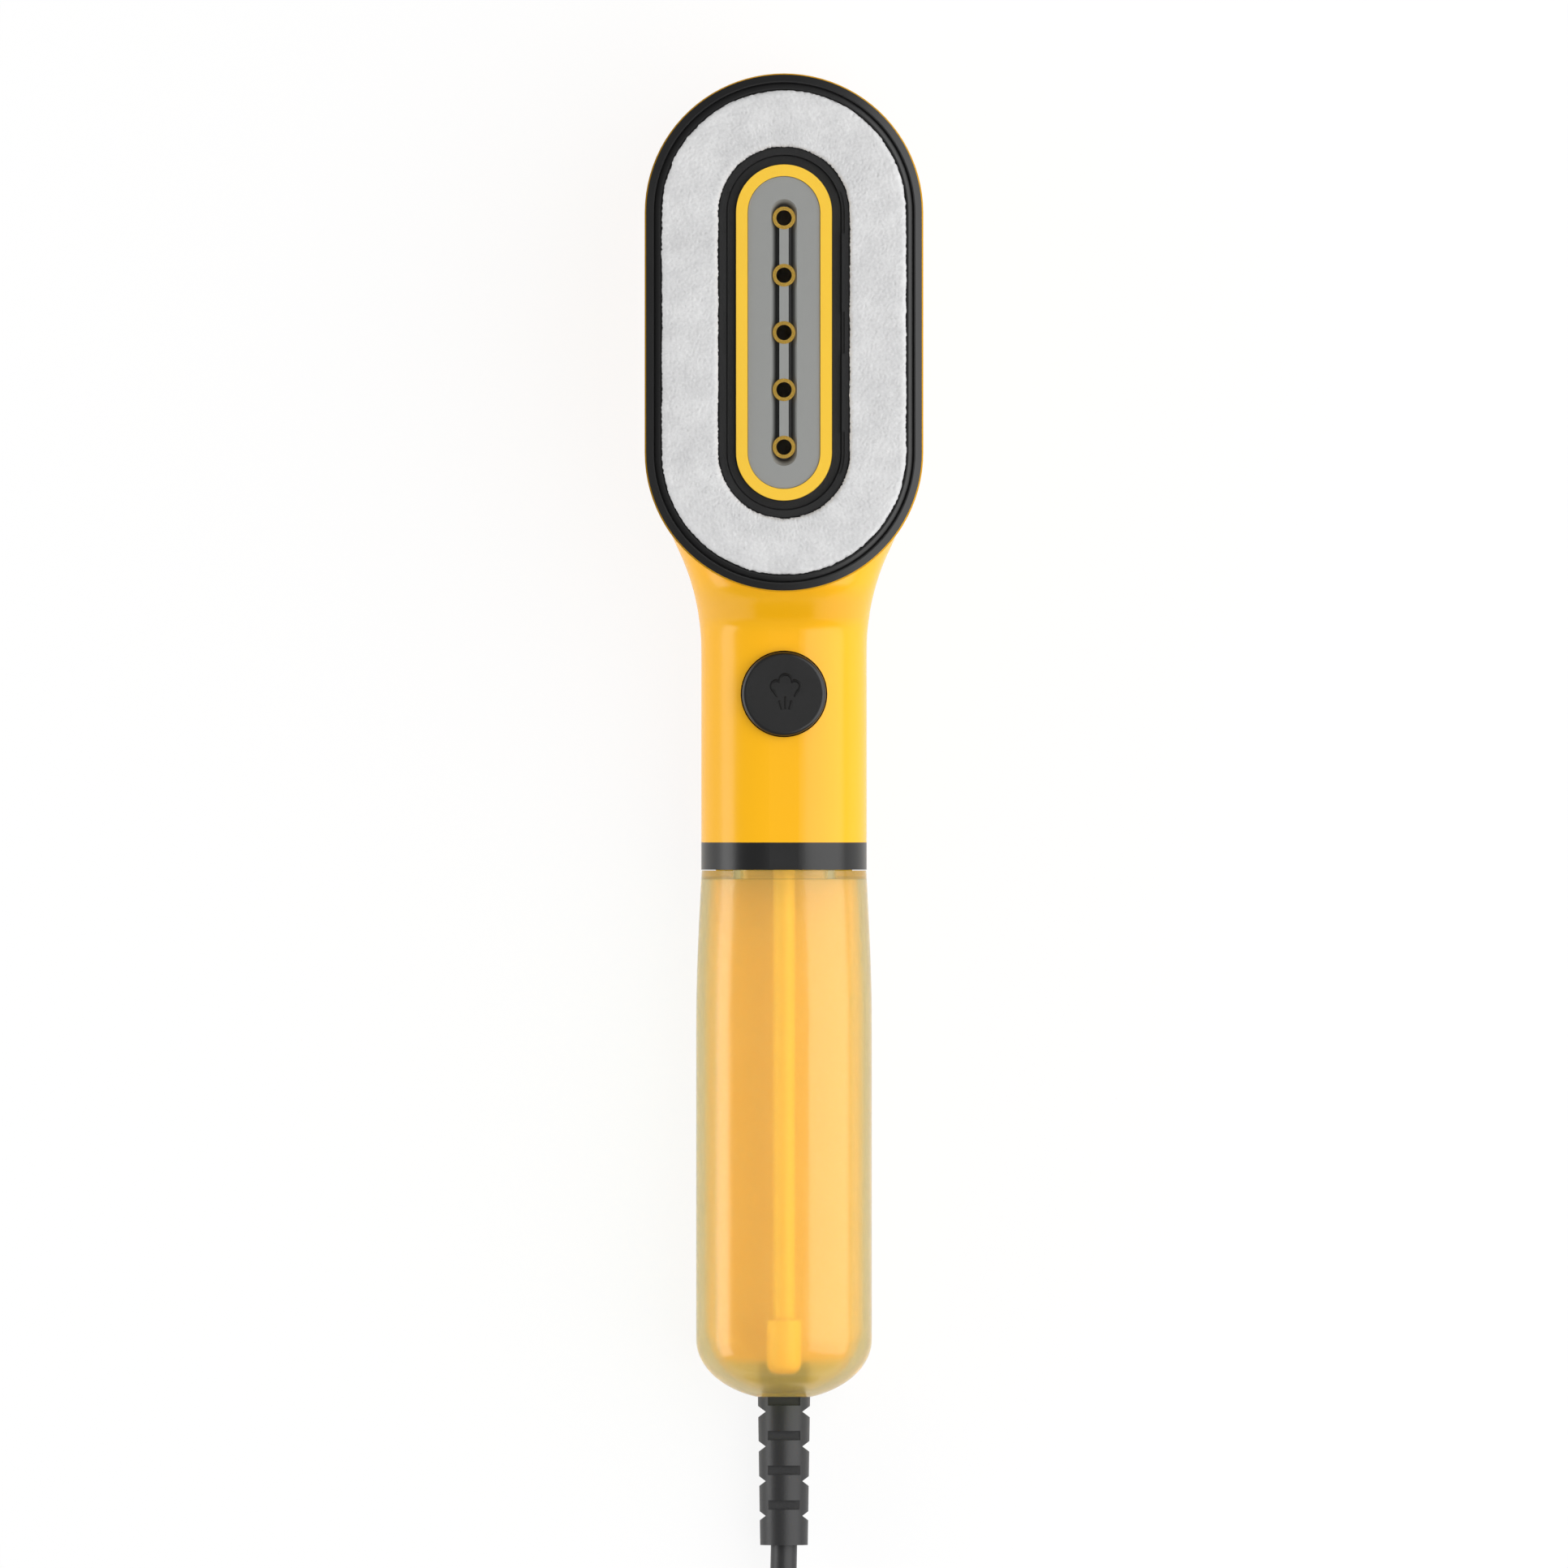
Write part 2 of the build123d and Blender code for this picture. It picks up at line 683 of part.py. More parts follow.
def pump_winding():
    y0 = pump_yoke_front + yoke_plate
    y1 = pump_yoke_back - yoke_plate
    body = rod_y(0, pump_axis_z, y0, y1, coil_winding_radius)
    return body - rod_y(0, pump_axis_z, y0 - 1, y1 + 1, pump_barrel_radius + seat_gap)


def wound_spring(start, direction, length, radius, wire, turns):
    """An open helical spring that just fills the length between two faces."""
    height = length - wire - 2 * seat_gap
    origin = start + direction * (wire / 2 + seat_gap)
    path = Helix(height / turns, height, radius, center=origin, direction=direction)
    return sweep(Plane(origin=path @ 0, z_dir=path % 0) * Circle(wire / 2), path=path, is_frenet=True)


piston_y = pump_barrel_y + shell_wall
pump_spring_end_y = pump_barrel_y + pump_barrel_length - shell_wall
piston_end_y = piston_y + piston_length
pump_piston = rod_y(0, pump_axis_z, piston_y, piston_end_y, piston_radius)
pump_spring = wound_spring(
    Vector(0, piston_end_y, pump_axis_z),
    Vector(0, 1, 0),
    pump_spring_end_y - piston_end_y,
    piston_radius - pump_spring_wire,
    pump_spring_wire,
    pump_spring_turns,
)
save(pump_barrel(), "pump_barrel")
save(pump_yoke(), "pump_yoke")
save(pump_winding(), "pump_winding")
save(pump_piston, "pump_piston")
save(pump_spring, "pump_spring")


# Hoses, pushed over their barbs
def hose(points):
    path = FilletPolyline(*points, radius=hose_bend) if len(points) > 2 else Line(*points)
    start = Plane(origin=path @ 0, z_dir=path % 0)
    outside = sweep(start * Circle(barb_radius + seat_gap + hose_wall), path=path)
    return outside - sweep(start * Circle(barb_radius + seat_gap), path=path)


dock_barb_y = handle_bottom_y + dock_spigot
hose_middle_y = (dock_barb_y + barb_length + pump_inlet_y) / 2
inlet_points = [
    (0, dock_barb_y + seat_gap, neck_z),
    (0, hose_middle_y - hose_slope / 2, neck_z),
    (0, hose_middle_y + hose_slope / 2, pump_axis_z),
    (0, pump_barrel_y - seat_gap, pump_axis_z),
]
outlet_points = [
    (0, pump_outlet_y - barb_length + seat_gap, pump_axis_z),
    (0, boiler_end_y - seat_gap, pump_axis_z),
]
save(hose(inlet_points), "inlet_hose")
save(hose(outlet_points), "outlet_hose")


# Button, its spring and the switch under it
def steam_button():
    body = rod_z(0, button_y, button_bottom_z, button_top_z, button_radius)
    body = fillet(body.edges().group_by(Axis.Z)[-1], button_edge)
    body += rod_z(0, button_y, button_bottom_z, button_flange_z, flange_radius)
    body -= rod_z(0, button_y, 0, button_roof_z, button_radius - button_wall)
    return body + rod_z(0, button_y, plunger_top + seat_gap, button_roof_z + 1, stem_radius)


def microswitch():
    half_width = switch_width / 2
    y0 = button_y - switch_length / 2
    body = block(-half_width, half_width, y0, y0 + switch_length, board_top, switch_top)
    bore_floor = plunger_top - plunger_length - button_travel - seat_gap
    return body - rod_z(0, button_y, bore_floor, reach, plunger_radius + running_gap)


def switch_carrier():
    half_width = switch_width / 2 + seat_gap
    half_length = switch_length / 2 + seat_gap
    wide = half_width + carrier_wall
    long = half_length + carrier_wall
    y = button_y
    body = block(-wide, wide, y - long, y + long, board_top, carrier_top)
    body += rod_z(0, y, switch_top + seat_gap, carrier_top, button_spring_radius + button_spring_wire)
    body -= block(-half_width, half_width, y - half_length, y + half_length, 0, switch_top + seat_gap)
    return body - rod_z(0, y, 0, reach, stem_radius + running_gap)


control_board = block(
    -board_half_width,
    board_half_width,
    button_y - board_length / 2,
    button_y + board_length / 2,
    board_z,
    board_top,
)
switch_plunger = rod_z(0, button_y, plunger_top - plunger_length, plunger_top, plunger_radius)
button_spring = wound_spring(
    Vector(0, button_y, carrier_top),
    Vector(0, 0, 1),
    button_roof_z - carrier_top,
    button_spring_radius,
    button_spring_wire,
    button_spring_turns,
)
save(steam_button(), "steam_button")
save(button_spring, "button_spring")
save(microswitch(), "microswitch")
save(switch_carrier(), "switch_carrier")
save(switch_plunger, "switch_plunger")
save(control_board, "control_board")


# Dock: closes the grip's lower end, takes the tank's neck and feeds the pump
socket_floor_y = tank_top_y + neck_height + seat_gap + seal_thickness


def dock_collar():
    body = grip_bar(handle_bottom_y, dock_bottom_y, 0)
    body -= block(
        -spine_half_width - seat_gap,
        spine_half_width + seat_gap,
        -reach,
        reach,
        -1,
        spine_depth + seat_gap,
    )
    spigot = grip_bar(handle_bottom_y + dock_spigot, handle_bottom_y, shell_wall + seat_gap)
    body += spigot & above_split
    body += barb_pipe(neck_z, handle_bottom_y, dock_barb_y + barb_length)
    body -= cross_slot(socket_floor_y, dock_bottom_y - 1, neck_half_height + running_gap)
    body -= rod_y(0, neck_z, socket_floor_y - 1, handle_bottom_y, suction_tube_radius + seat_gap)
    return body - rod_y(0, neck_z, handle_bottom_y - 1, reach, barb_bore)


def neck_seal():
    y0 = socket_floor_y - seal_thickness
    ring = cross_slot(socket_floor_y, y0, neck_half_height)
    return ring - cross_slot(socket_floor_y + 1, y0 - 1, neck_half_height - neck_wall)


filter_bottom_y = tank_bottom_y + tank_end_wall + filter_floor_gap
filter_top_y = filter_bottom_y + filter_length


def suction_tube():
    body = rod_y(0, neck_z, filter_top_y, handle_bottom_y, suction_tube_radius)
    return body - rod_y(0, neck_z, filter_top_y - 1, handle_bottom_y + 1, suction_tube_bore)


def suction_filter():
    body = rod_y(0, neck_z, filter_bottom_y, filter_top_y, filter_radius)
    body = fillet(body.edges().group_by(Axis.Y)[0], filter_round)
    return body - rod_y(0, neck_z, filter_bottom_y + filter_floor, filter_top_y + 1, suction_tube_bore)


save(dock_collar(), "dock_collar")
save(neck_seal(), "neck_seal")
save(suction_tube(), "suction_tube")
save(suction_filter(), "suction_filter")


# Water tank: flares from the collar, then runs straight to a rounded end, open behind for the spine
def tank_form(inset, end_y):
    stations = 4

    def station(i):
        share = math.sin(math.pi / 2 * i / (stations - 1))
        y = tank_top_y + (tank_flare_y - tank_top_y) * i / (stations - 1)
        half_width = tank_top_half_width + (tank_half_width - tank_top_half_width) * share
        depth = handle_depth + (tank_depth - handle_depth) * share
        return grip_section(y, half_width, depth, grip_corner, inset)

    flare = loft([station(i) for i in range(stations)])
    bowl_y = end_y + tank_end_height
    straight = extrude(station(stations - 1), amount=tank_flare_y - bowl_y)
    return flare + straight + tank_bowl(inset, bowl_y)


def tank_bowl(inset, bowl_y):
    """The tank's rounded end: its section moves in along a quarter of an ellipse, down to a small flat."""
    stations = 8
    last_turn = math.radians(72)
    shrink = (grip_corner - inset - tank_end_corner) / (1 - math.cos(last_turn))
    drop = tank_end_height / math.sin(last_turn)
    turns = [last_turn * i / (stations - 1) for i in range(stations)]
    return loft([
        grip_section(
            bowl_y - drop * math.sin(turn),
            tank_half_width,
            tank_depth,
            grip_corner,
            inset + shrink * (1 - math.cos(turn)),
        )
        for turn in turns
    ])


spine_room = block(
    -spine_half_width - running_gap,
    spine_half_width + running_gap,
    -reach,
    reach,
    -1,
    spine_depth + running_gap,
) + block(-reach, reach, -reach, reach, -reach, tank_skirt_z)
tank_outside = tank_form(0, tank_bottom_y) - spine_room
tank_floor_z = spine_depth + running_gap + tank_wall
above_floor = block(-reach, reach, -reach, reach, tank_floor_z, reach)
tank_inside = tank_form(tank_wall, tank_bottom_y + tank_end_wall) & above_floor
lid_joint_y = tank_top_y - tank_lid_thickness
below_lid = block(-reach, reach, -reach, lid_joint_y, -reach, reach)
above_lid = block(-reach, reach, lid_joint_y, reach, -reach, reach)


def tank_lid():
    neck = cross_slot(tank_top_y + neck_height, lid_joint_y, neck_half_height)
    bore = cross_slot(reach / 4, lid_joint_y - 1, neck_half_height - neck_wall)
    return (tank_outside & above_lid) + neck - bore


save((tank_outside & below_lid) - tank_inside, "tank_body")
save(tank_lid(), "tank_lid")


# Supply lead inside the spine, its clamp and its cores
def cord_clamp():
    y0 = clamp_y - clamp_length / 2
    body = block(-clamp_half_width, clamp_half_width, y0, y0 + clamp_length, clamp_bottom_z, clamp_top_z)
    body -= rod_y(0, cord_axis_z, y0 - 1, y0 + clamp_length + 1, cord_radius)
    for side in (-1, 1):
        body -= rod_z(side * clamp_screw_x, clamp_y, 0, reach, screw_radius)
    return body


def core_wire(side):
    end_y = button_y - board_length / 2 + core_inset
    points = [
        (side * cord_radius / 2, dock_bottom_y, cord_axis_z),
        (side * cord_radius / 2, handle_bottom_y, cord_axis_z),
        (side * core_spread, handle_bottom_y + core_spread, cord_axis_z),
        (side * core_spread, end_y, pump_axis_z),
        (side * core_spread, end_y, board_z),
    ]
    path = FilletPolyline(*points, radius=core_bend)
    return sweep(Plane(origin=path @ 0, z_dir=path % 0) * Circle(core_wire_radius), path=path)


clamp_screws = [
    flat_screw(side * clamp_screw_x, clamp_y, clamp_top_z, cord_axis_z - cord_radius) for side in (-1, 1)
]
save(rod_y(0, cord_axis_z, relief_end_y, dock_bottom_y, cord_radius), "inner_lead")
save(cord_clamp(), "cord_clamp")
save(group(clamp_screws), "clamp_screws")
save(group([core_wire(-1), core_wire(1)]), "core_wires")


# Bend relief: a tapered sleeve cut from the sides and from front and back in turn
def relief_notch(y, side):
    edge = side * (relief_radius + 1)
    tip = side * (relief_radius - relief_notch_depth)
    wedge = Polyline((edge, y - relief_notch_width), (tip, y), (edge, y + relief_notch_width), close=True)
    return extrude(Pos(0, 0, cord_axis_z) * make_face(wedge), amount=relief_radius, both=True)


def relief_slot(y, side):
    near = cord_axis_z + side * relief_slot_floor
    far = cord_axis_z + side * (relief_radius + 1)
    half_x = relief_slot_width / 2
    half_y = relief_notch_width / 2
    return block(-half_x, half_x, y - half_y, y + half_y, min(near, far), max(near, far))


def strain_relief():
    wide = Plane.XZ.offset(-spine_end_y) * Pos(0, cord_axis_z) * Circle(relief_radius)
    narrow = Plane.XZ.offset(-relief_end_y) * Pos(0, cord_axis_z) * Circle(relief_end_radius)
    body = loft([wide, narrow])
    for i in range(relief_notches):
        y = relief_first_notch_y - i * relief_pitch
        for side in (-1, 1):
            body -= relief_notch(y, side)
            body -= relief_slot(y + relief_slot_offset, side)
    flange_y = spine_end_y + spine_wall
    body += rod_y(0, cord_axis_z, spine_end_y, flange_y, relief_neck_radius)
    body += rod_y(0, cord_axis_z, flange_y, flange_y + relief_flange_thickness, relief_flange_radius)
    return body - rod_y(0, cord_axis_z, -reach, reach, cord_radius + seat_gap)


save(strain_relief(), "strain_relief")

# Free cord: straight runs joined by arcs as large as the runs allow
route = [
    Vector(x, relief_end_y + y, cord_axis_z + (coil_z - cord_axis_z) * drop) for x, y, drop in cord_route
]
runs = [b - a for a, b in zip(route, route[1:])]
radii = []
for before, after in zip(runs, runs[1:]):
    half_turn = math.radians(before.get_angle(after) / 2)
    radii.append(0.45 * min(before.length, after.length) / math.tan(half_turn))
cord_path = FilletPolyline(*route, radius=radii)
power_cord = sweep(Plane(origin=cord_path @ 0, z_dir=cord_path % 0) * Circle(cord_radius), path=cord_path)
save(power_cord, "power_cord")

# Coil of the rest: in along the floor layer, up at the middle, out again above, then a tail to the plug
coil_start = route[-1] + runs[-1].normalized() * cord_diameter
coil_top_z = coil_z + coil_pitch
coil_inner_radius = coil_outer_radius - coil_pitch * coil_layer_turns
layer_angle = 360 * coil_layer_turns
heading = math.degrees(math.atan2(runs[-1].Y, runs[-1].X))
lead_in = math.degrees(math.atan2(coil_pitch / (2 * math.pi), coil_outer_radius))
first_angle = heading - 90 - lead_in
climb_start = 2 * layer_angle + 180
tail_climb = -(first_angle + climb_start + tail_turn) % 360
tail_start = climb_start + tail_climb
coil_end = tail_start + tail_turn
plug_axis_z = coil_top_z + cord_radius + plug_rest_gap + plug_height / 2
coil_centre_x = coil_start.X - coil_outer_radius * math.cos(math.radians(first_angle))
coil_centre_y = coil_start.Y - coil_outer_radius * math.sin(math.radians(first_angle))


def polar(centre_x, centre_y, radius, angle, z):
    turn = math.radians(first_angle + angle)
    return Vector(centre_x + radius * math.cos(turn), centre_y + radius * math.sin(turn), z)


def coil_point(angle):
    """A point on the coil, by the angle wound since its start in degrees."""
    if angle <= layer_angle:
        radius = coil_outer_radius - coil_pitch * angle / 360
        return polar(coil_centre_x, coil_centre_y, radius, angle, coil_z)
    if angle <= layer_angle + 180:
        share = (angle - layer_angle) / 180
        radius = coil_inner_radius - coil_pitch / 2 * (share - share * share)
        return polar(coil_centre_x, coil_centre_y, radius, angle, coil_z + coil_pitch * smooth(share))
    if angle <= climb_start:
        radius = coil_inner_radius + coil_pitch * (angle - layer_angle - 180) / 360
        return polar(coil_centre_x, coil_centre_y, radius, angle, coil_top_z)
    if angle <= tail_start:
        share = (angle - climb_start) / tail_climb
        rise = (plug_axis_z - coil_top_z) * smooth(share)
        radius = coil_outer_radius + coil_pitch * tail_climb / 360 * (share - share * share)
        return polar(coil_centre_x, coil_centre_y, radius, angle, coil_top_z + rise)
    hub = polar(coil_centre_x, coil_centre_y, coil_outer_radius - tail_radius, tail_start, plug_axis_z)
    return polar(hub.X, hub.Y, tail_radius, angle, plug_axis_z)


def coil_tangent(angle):
    nudge = 0.01
    return (coil_point(angle + nudge) - coil_point(angle - nudge)).normalized()


def biarc(start, start_way, end, end_way):
    """Two arcs that leave one point and reach the other along the given ways."""
    span = end - start
    both = start_way + end_way
    a = 2 * (start_way.dot(end_way) - 1)
    b = -2 * span.dot(both)
    c = span.dot(span)
    handle = (-b - math.sqrt(b * b - 4 * a * c)) / (2 * a)
    first = start + start_way * handle
    last = end - end_way * handle
    middle = (first + last) * 0.5
    return [TangentArc(start, middle, tangent=start_way), TangentArc(middle, end, tangent=last - first)]


def even_steps(first, last):
    count = math.ceil((last - first) / 90 - 1e-6)
    return [first + (last - first) * i / count for i in range(count)]


stations = []
stage_ends = [0, layer_angle, layer_angle + 180, climb_start, tail_start, coil_end]
for first, last in zip(stage_ends, stage_ends[1:]):
    stations += even_steps(first, last)
stations.append(coil_end)
coil_edges = [Line(route[-1], coil_point(0))]
for first, last in zip(stations, stations[1:]):
    coil_edges += biarc(coil_point(first), coil_tangent(first), coil_point(last), coil_tangent(last))
plug_start = coil_point(coil_end) + coil_tangent(coil_end) * cord_diameter
coil_edges.append(Line(coil_point(coil_end), plug_start))
coil_path = Wire(coil_edges)
cord_coil = sweep(Plane(origin=route[-1], z_dir=runs[-1]) * Circle(cord_radius), path=coil_path)
save(cord_coil, "cord_coil")


def coil_gap():
    """The least gap between the coil's turns, measured on points along it."""
    step = 4
    angles = range(0, int(coil_end), step)
    points = [tuple(coil_point(angle)) for angle in angles]
    apart = 180 // step
    return min(
        math.dist(points[i], points[j]) for i in range(len(points)) for j in range(i + apart, len(points))
    ) - cord_diameter


section_area = math.pi * cord_radius**2
print("cord arc radii", [round(radius, 1) for radius in radii])
print("cord volume against section times length", power_cord.volume / (section_area * cord_path.length))
print("coil volume against section times length", cord_coil.volume / (section_area * coil_path.length))
print("coil least gap", round(coil_gap(), 2))
print("cord length outside the relief", round(cord_path.length + coil_path.length))


# Plug: lies on the coil, with two flat blades
def plug_section(y, width, height, corner):
    return Plane.XZ.offset(-y) * Pos(plug_start.X, plug_axis_z) * RectangleRounded(width, height, corner)


plug_back_y = plug_start.Y + plug_relief_length
plug_front_y = plug_back_y + plug_length


def plug_body():
    body = extrude(plug_section(plug_front_y, plug_width, plug_height, plug_corner), amount=plug_length)
    axis = Pos(plug_start.X, plug_axis_z)
    tip = Plane.XZ.offset(-plug_start.Y) * axis * Circle(cord_radius + plug_tip_wall)
    root = Plane.XZ.offset(-plug_back_y) * axis * Circle(plug_relief_radius)
    return body + loft([tip, root])


def plug_blade(side):
    x = plug_start.X + side * blade_spacing / 2
    half_x = blade_thickness / 2
    half_z = blade_width / 2
    tip_y = plug_front_y + blade_length
    return block(x - half_x, x + half_x, plug_front_y, tip_y, plug_axis_z - half_z, plug_axis_z + half_z)


save(plug_body(), "plug_body")
save(group([plug_blade(-1), plug_blade(1)]), "plug_blades")


# Ties: two straps round all the coil's turns
def cord_tie(angle):
    hole_radius = coil_inner_radius - coil_pitch / 8 - cord_radius
    inner_edge = math.sqrt(hole_radius**2 - (tie_width / 2) ** 2) - tie_slack
    outer_edge = coil_outer_radius + cord_radius + tie_slack
    low = coil_z - cord_radius - tie_slack
    high = coil_top_z + cord_radius + tie_slack
    away = Vector(math.cos(math.radians(angle)), math.sin(math.radians(angle)), 0)
    along = Vector(-away.Y, away.X, 0)
    middle = Vector(coil_centre_x, coil_centre_y, (low + high) / 2) + away * ((inner_edge + outer_edge) / 2)
    face = Plane(origin=middle, x_dir=away, z_dir=along)
    width = outer_edge - inner_edge
    height = high - low
    outline = RectangleRounded(width + 2 * tie_thickness, height + 2 * tie_thickness, cord_radius)
    outline -= RectangleRounded(width, height, cord_radius - tie_thickness)
    return extrude(face * outline, amount=tie_width / 2, both=True)


save(group([cord_tie(angle) for angle in tie_angles]), "cord_ties")
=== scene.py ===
import math

import bpy
import numpy as np
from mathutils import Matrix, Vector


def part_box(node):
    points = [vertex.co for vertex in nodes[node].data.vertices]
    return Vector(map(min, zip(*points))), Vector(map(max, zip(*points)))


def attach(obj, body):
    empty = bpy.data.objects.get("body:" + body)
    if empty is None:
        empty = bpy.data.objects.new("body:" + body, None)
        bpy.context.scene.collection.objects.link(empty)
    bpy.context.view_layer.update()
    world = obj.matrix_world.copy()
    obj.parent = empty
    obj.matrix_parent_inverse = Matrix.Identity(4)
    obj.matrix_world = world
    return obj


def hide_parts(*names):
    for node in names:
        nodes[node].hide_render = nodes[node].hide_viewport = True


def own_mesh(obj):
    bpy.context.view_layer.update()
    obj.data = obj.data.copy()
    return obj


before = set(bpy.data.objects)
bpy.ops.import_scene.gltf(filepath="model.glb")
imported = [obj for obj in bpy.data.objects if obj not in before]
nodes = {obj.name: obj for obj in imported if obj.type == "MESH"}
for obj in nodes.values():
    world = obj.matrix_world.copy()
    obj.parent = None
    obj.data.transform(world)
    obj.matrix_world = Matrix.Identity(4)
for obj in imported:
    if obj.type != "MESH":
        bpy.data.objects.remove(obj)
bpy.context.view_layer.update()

# Handheld garment steamer lying on its back, in metres, seen from straight above.
# X is across the steamer, Y runs from its cord to the top of its head, Z is up through the steam face.

# Camera: a long lens straight above the grip. The steamer's body fills most of the frame's height,
# and the cord runs out of the lower edge.
scene = bpy.context.scene
scene.view_settings.view_transform = "Standard"
view_width = 0.3671
view_centre_y = -0.0113
view_plane_z = 0.045
camera_distance = 12.0
camera_data = bpy.data.cameras.new("camera")
camera_data.lens = camera_data.sensor_width * camera_distance / view_width
camera = bpy.data.objects.new("camera", camera_data)
camera.location = (0.0, view_centre_y, view_plane_z + camera_distance)
scene.collection.objects.link(camera)
scene.camera = camera


# Stage: a white sheet under the steamer that keeps a faint shadow, and a dim room.
# To the eye and in gloss the sheet looks nearly white, and through the tank it is painted half as bright, as
# painted shade under the steamer.
def add_node(tree, kind, **sockets):
    """A shader node with its inputs set by name, with underscores for spaces."""
    node = tree.nodes.new("ShaderNode" + kind)
    for name, value in sockets.items():
        node.inputs[name.replace("_", " ")].default_value = value
    return node


def by_ray(tree, values):
    """The values given for the kinds of ray that look, added up, and 0 for light that falls on things."""
    path = add_node(tree, "LightPath")
    total = None
    for name, value in values.items():
        scaled = add_node(tree, "Math")
        scaled.operation = "MULTIPLY_ADD"
        scaled.inputs[1].default_value = value
        scaled.inputs[2].default_value = 0.0
        tree.links.new(path.outputs[name], scaled.inputs[0])
        if total is not None:
            tree.links.new(total, scaled.inputs[2])
        total = scaled.outputs[0]
    return total


def sheet_material():
    """White paper, of which a share glows: white to the eye and in gloss, and painted half as bright through
    plastic, as painted shade under the steamer.
    A ray through plastic also counts as a glossy one, so its own values are added to those."""
    material = bpy.data.materials.new("white_sheet")
    material.use_nodes = True
    tree = material.node_tree
    tree.nodes.clear()
    paper = add_node(tree, "BsdfDiffuse", Color=(0.98, 0.98, 0.98, 1.0))
    white = add_node(tree, "Emission", Color=(1.0, 1.0, 1.0, 1.0))
    mix = add_node(tree, "MixShader")
    output = add_node(tree, "OutputMaterial")
    shares = {"Is Camera Ray": 0.88, "Is Glossy Ray": 0.6, "Is Transmission Ray": 0.35}
    # Painted shade: a ray through plastic gets 0.55 less glow, so the sheet under the steamer looks dimmer
    # through the tank.
    strengths = {"Is Camera Ray": 1.0, "Is Glossy Ray": 1.0, "Is Transmission Ray": -0.55}
    tree.links.new(by_ray(tree, shares), mix.inputs["Fac"])
    tree.links.new(by_ray(tree, strengths), white.inputs["Strength"])
    tree.links.new(paper.outputs[0], mix.inputs[1])
    tree.links.new(white.outputs[0], mix.inputs[2])
    tree.links.new(mix.outputs[0], output.inputs["Surface"])
    return material


sheet_reach = 6.0
sheet_z = -0.0003
sheet_mesh = bpy.data.meshes.new("white_sheet")
sheet_corners = [(x * sheet_reach, y * sheet_reach, sheet_z) for x, y in ((-1, -1), (1, -1), (1, 1), (-1, 1))]
sheet_mesh.from_pydata(sheet_corners, [], [(0, 1, 2, 3)])
sheet_mesh.materials.append(sheet_material())
white_sheet = bpy.data.objects.new("white_sheet", sheet_mesh)
scene.collection.objects.link(white_sheet)

room_level = 0.3
world = bpy.data.worlds.new("room")
world.use_nodes = True
scene.world = world
room = world.node_tree
room_light = room.nodes["Background"]
room_path = add_node(room, "LightPath")
room_mix = add_node(room, "Mix")
room_mix.data_type = "RGBA"
room_mix.inputs["A"].default_value = (room_level, room_level, room_level, 1.0)
room_mix.inputs["B"].default_value = (1.0, 1.0, 1.0, 1.0)
room.links.new(room_path.outputs["Is Camera Ray"], room_mix.inputs["Factor"])
room.links.new(room_mix.outputs["Result"], room_light.inputs["Color"])


# Lamps: a tall soft panel on the right that reaches from beside the camera down to the sheet,
# and a lower panel on the left. Both run the length of the steamer, so their glints are long bands.
def panel_lamp(name, place, width, length, brightness):
    """A soft panel that faces the grip, with its width in the plane across the steamer."""
    data = bpy.data.lights.new(name, "AREA")
    data.shape = "RECTANGLE"
    data.size = width
    data.size_y = length
    data.energy = brightness * math.pi * width * length
    lamp = bpy.data.objects.new(name, data)
    x, _, z = place
    lamp.location = place
    lamp.rotation_euler = (0.0, math.atan2(x, z), 0.0)
    lamp.visible_camera = False
    scene.collection.objects.link(lamp)


panel_lamp("right_panel", (0.85, view_centre_y, 0.85), width=1.75, length=1.9, brightness=2.15)
panel_lamp("left_panel", (-1.0, view_centre_y, 0.28), width=0.5, length=1.7, brightness=3.0)


# Supply cord: one round flexible lead in a black jacket. It leaves its bend relief, sinks to the table in an
# easy bend, and the rest is wound into a flat coil of two layers with the plug laid on top.
cord_diameter = 0.0062
cord_radius = cord_diameter / 2
cord_exit = np.array([0.0, -0.190, 0.00825])
coil_floor_z = 0.0043
coil_radius = 0.0469
coil_gap = 0.0006
coil_pitch = cord_diameter + coil_gap
coil_layer_turns = 3.25
coil_steps = 24
tail_radius = 0.027
tail_turn = 110.0
plug_lift = 0.0014
plug_height = 0.013
cord_route = [
    (0.0, 0.0, 0.0),
    (0.0, -0.013, 0.0),
    (-0.0043, -0.0256, 0.5),
    (-0.0126, -0.0362, 1.0),
    (-0.024, -0.0434, 1.0),
]
cord_drop = coil_floor_z - cord_exit[2]
free_run = np.array([cord_exit + (x, y, cord_drop * drop) for x, y, drop in cord_route])
last_way = (free_run[-1] - free_run[-2]) / np.linalg.norm(free_run[-1] - free_run[-2])
coil_start = free_run[-1] + last_way * cord_diameter
lead_in = math.degrees(math.atan2(coil_pitch / (2 * math.pi), coil_radius))
first_angle = math.degrees(math.atan2(last_way[1], last_way[0])) - 90 - lead_in
layer_angle = 360 * coil_layer_turns
climb_start = 2 * layer_angle + 180
tail_climb = -(first_angle + climb_start + tail_turn) % 360
tail_start = climb_start + tail_climb
coil_end = tail_start + tail_turn
coil_upper_z = coil_floor_z + coil_pitch
plug_axis_z = coil_upper_z + cord_radius + plug_lift + plug_height / 2


def smooth(share):
    """An S-shaped rise from 0 to 1, level at both ends: share squared times (3 - 2 share)."""
    return share * share * (3 - 2 * share)


def around(angle):
    """Unit vectors in the table's plane at the angles wound since the coil's start."""
    turn = np.radians(first_angle + angle)
    return np.stack([np.cos(turn), np.sin(turn)], axis=-1)


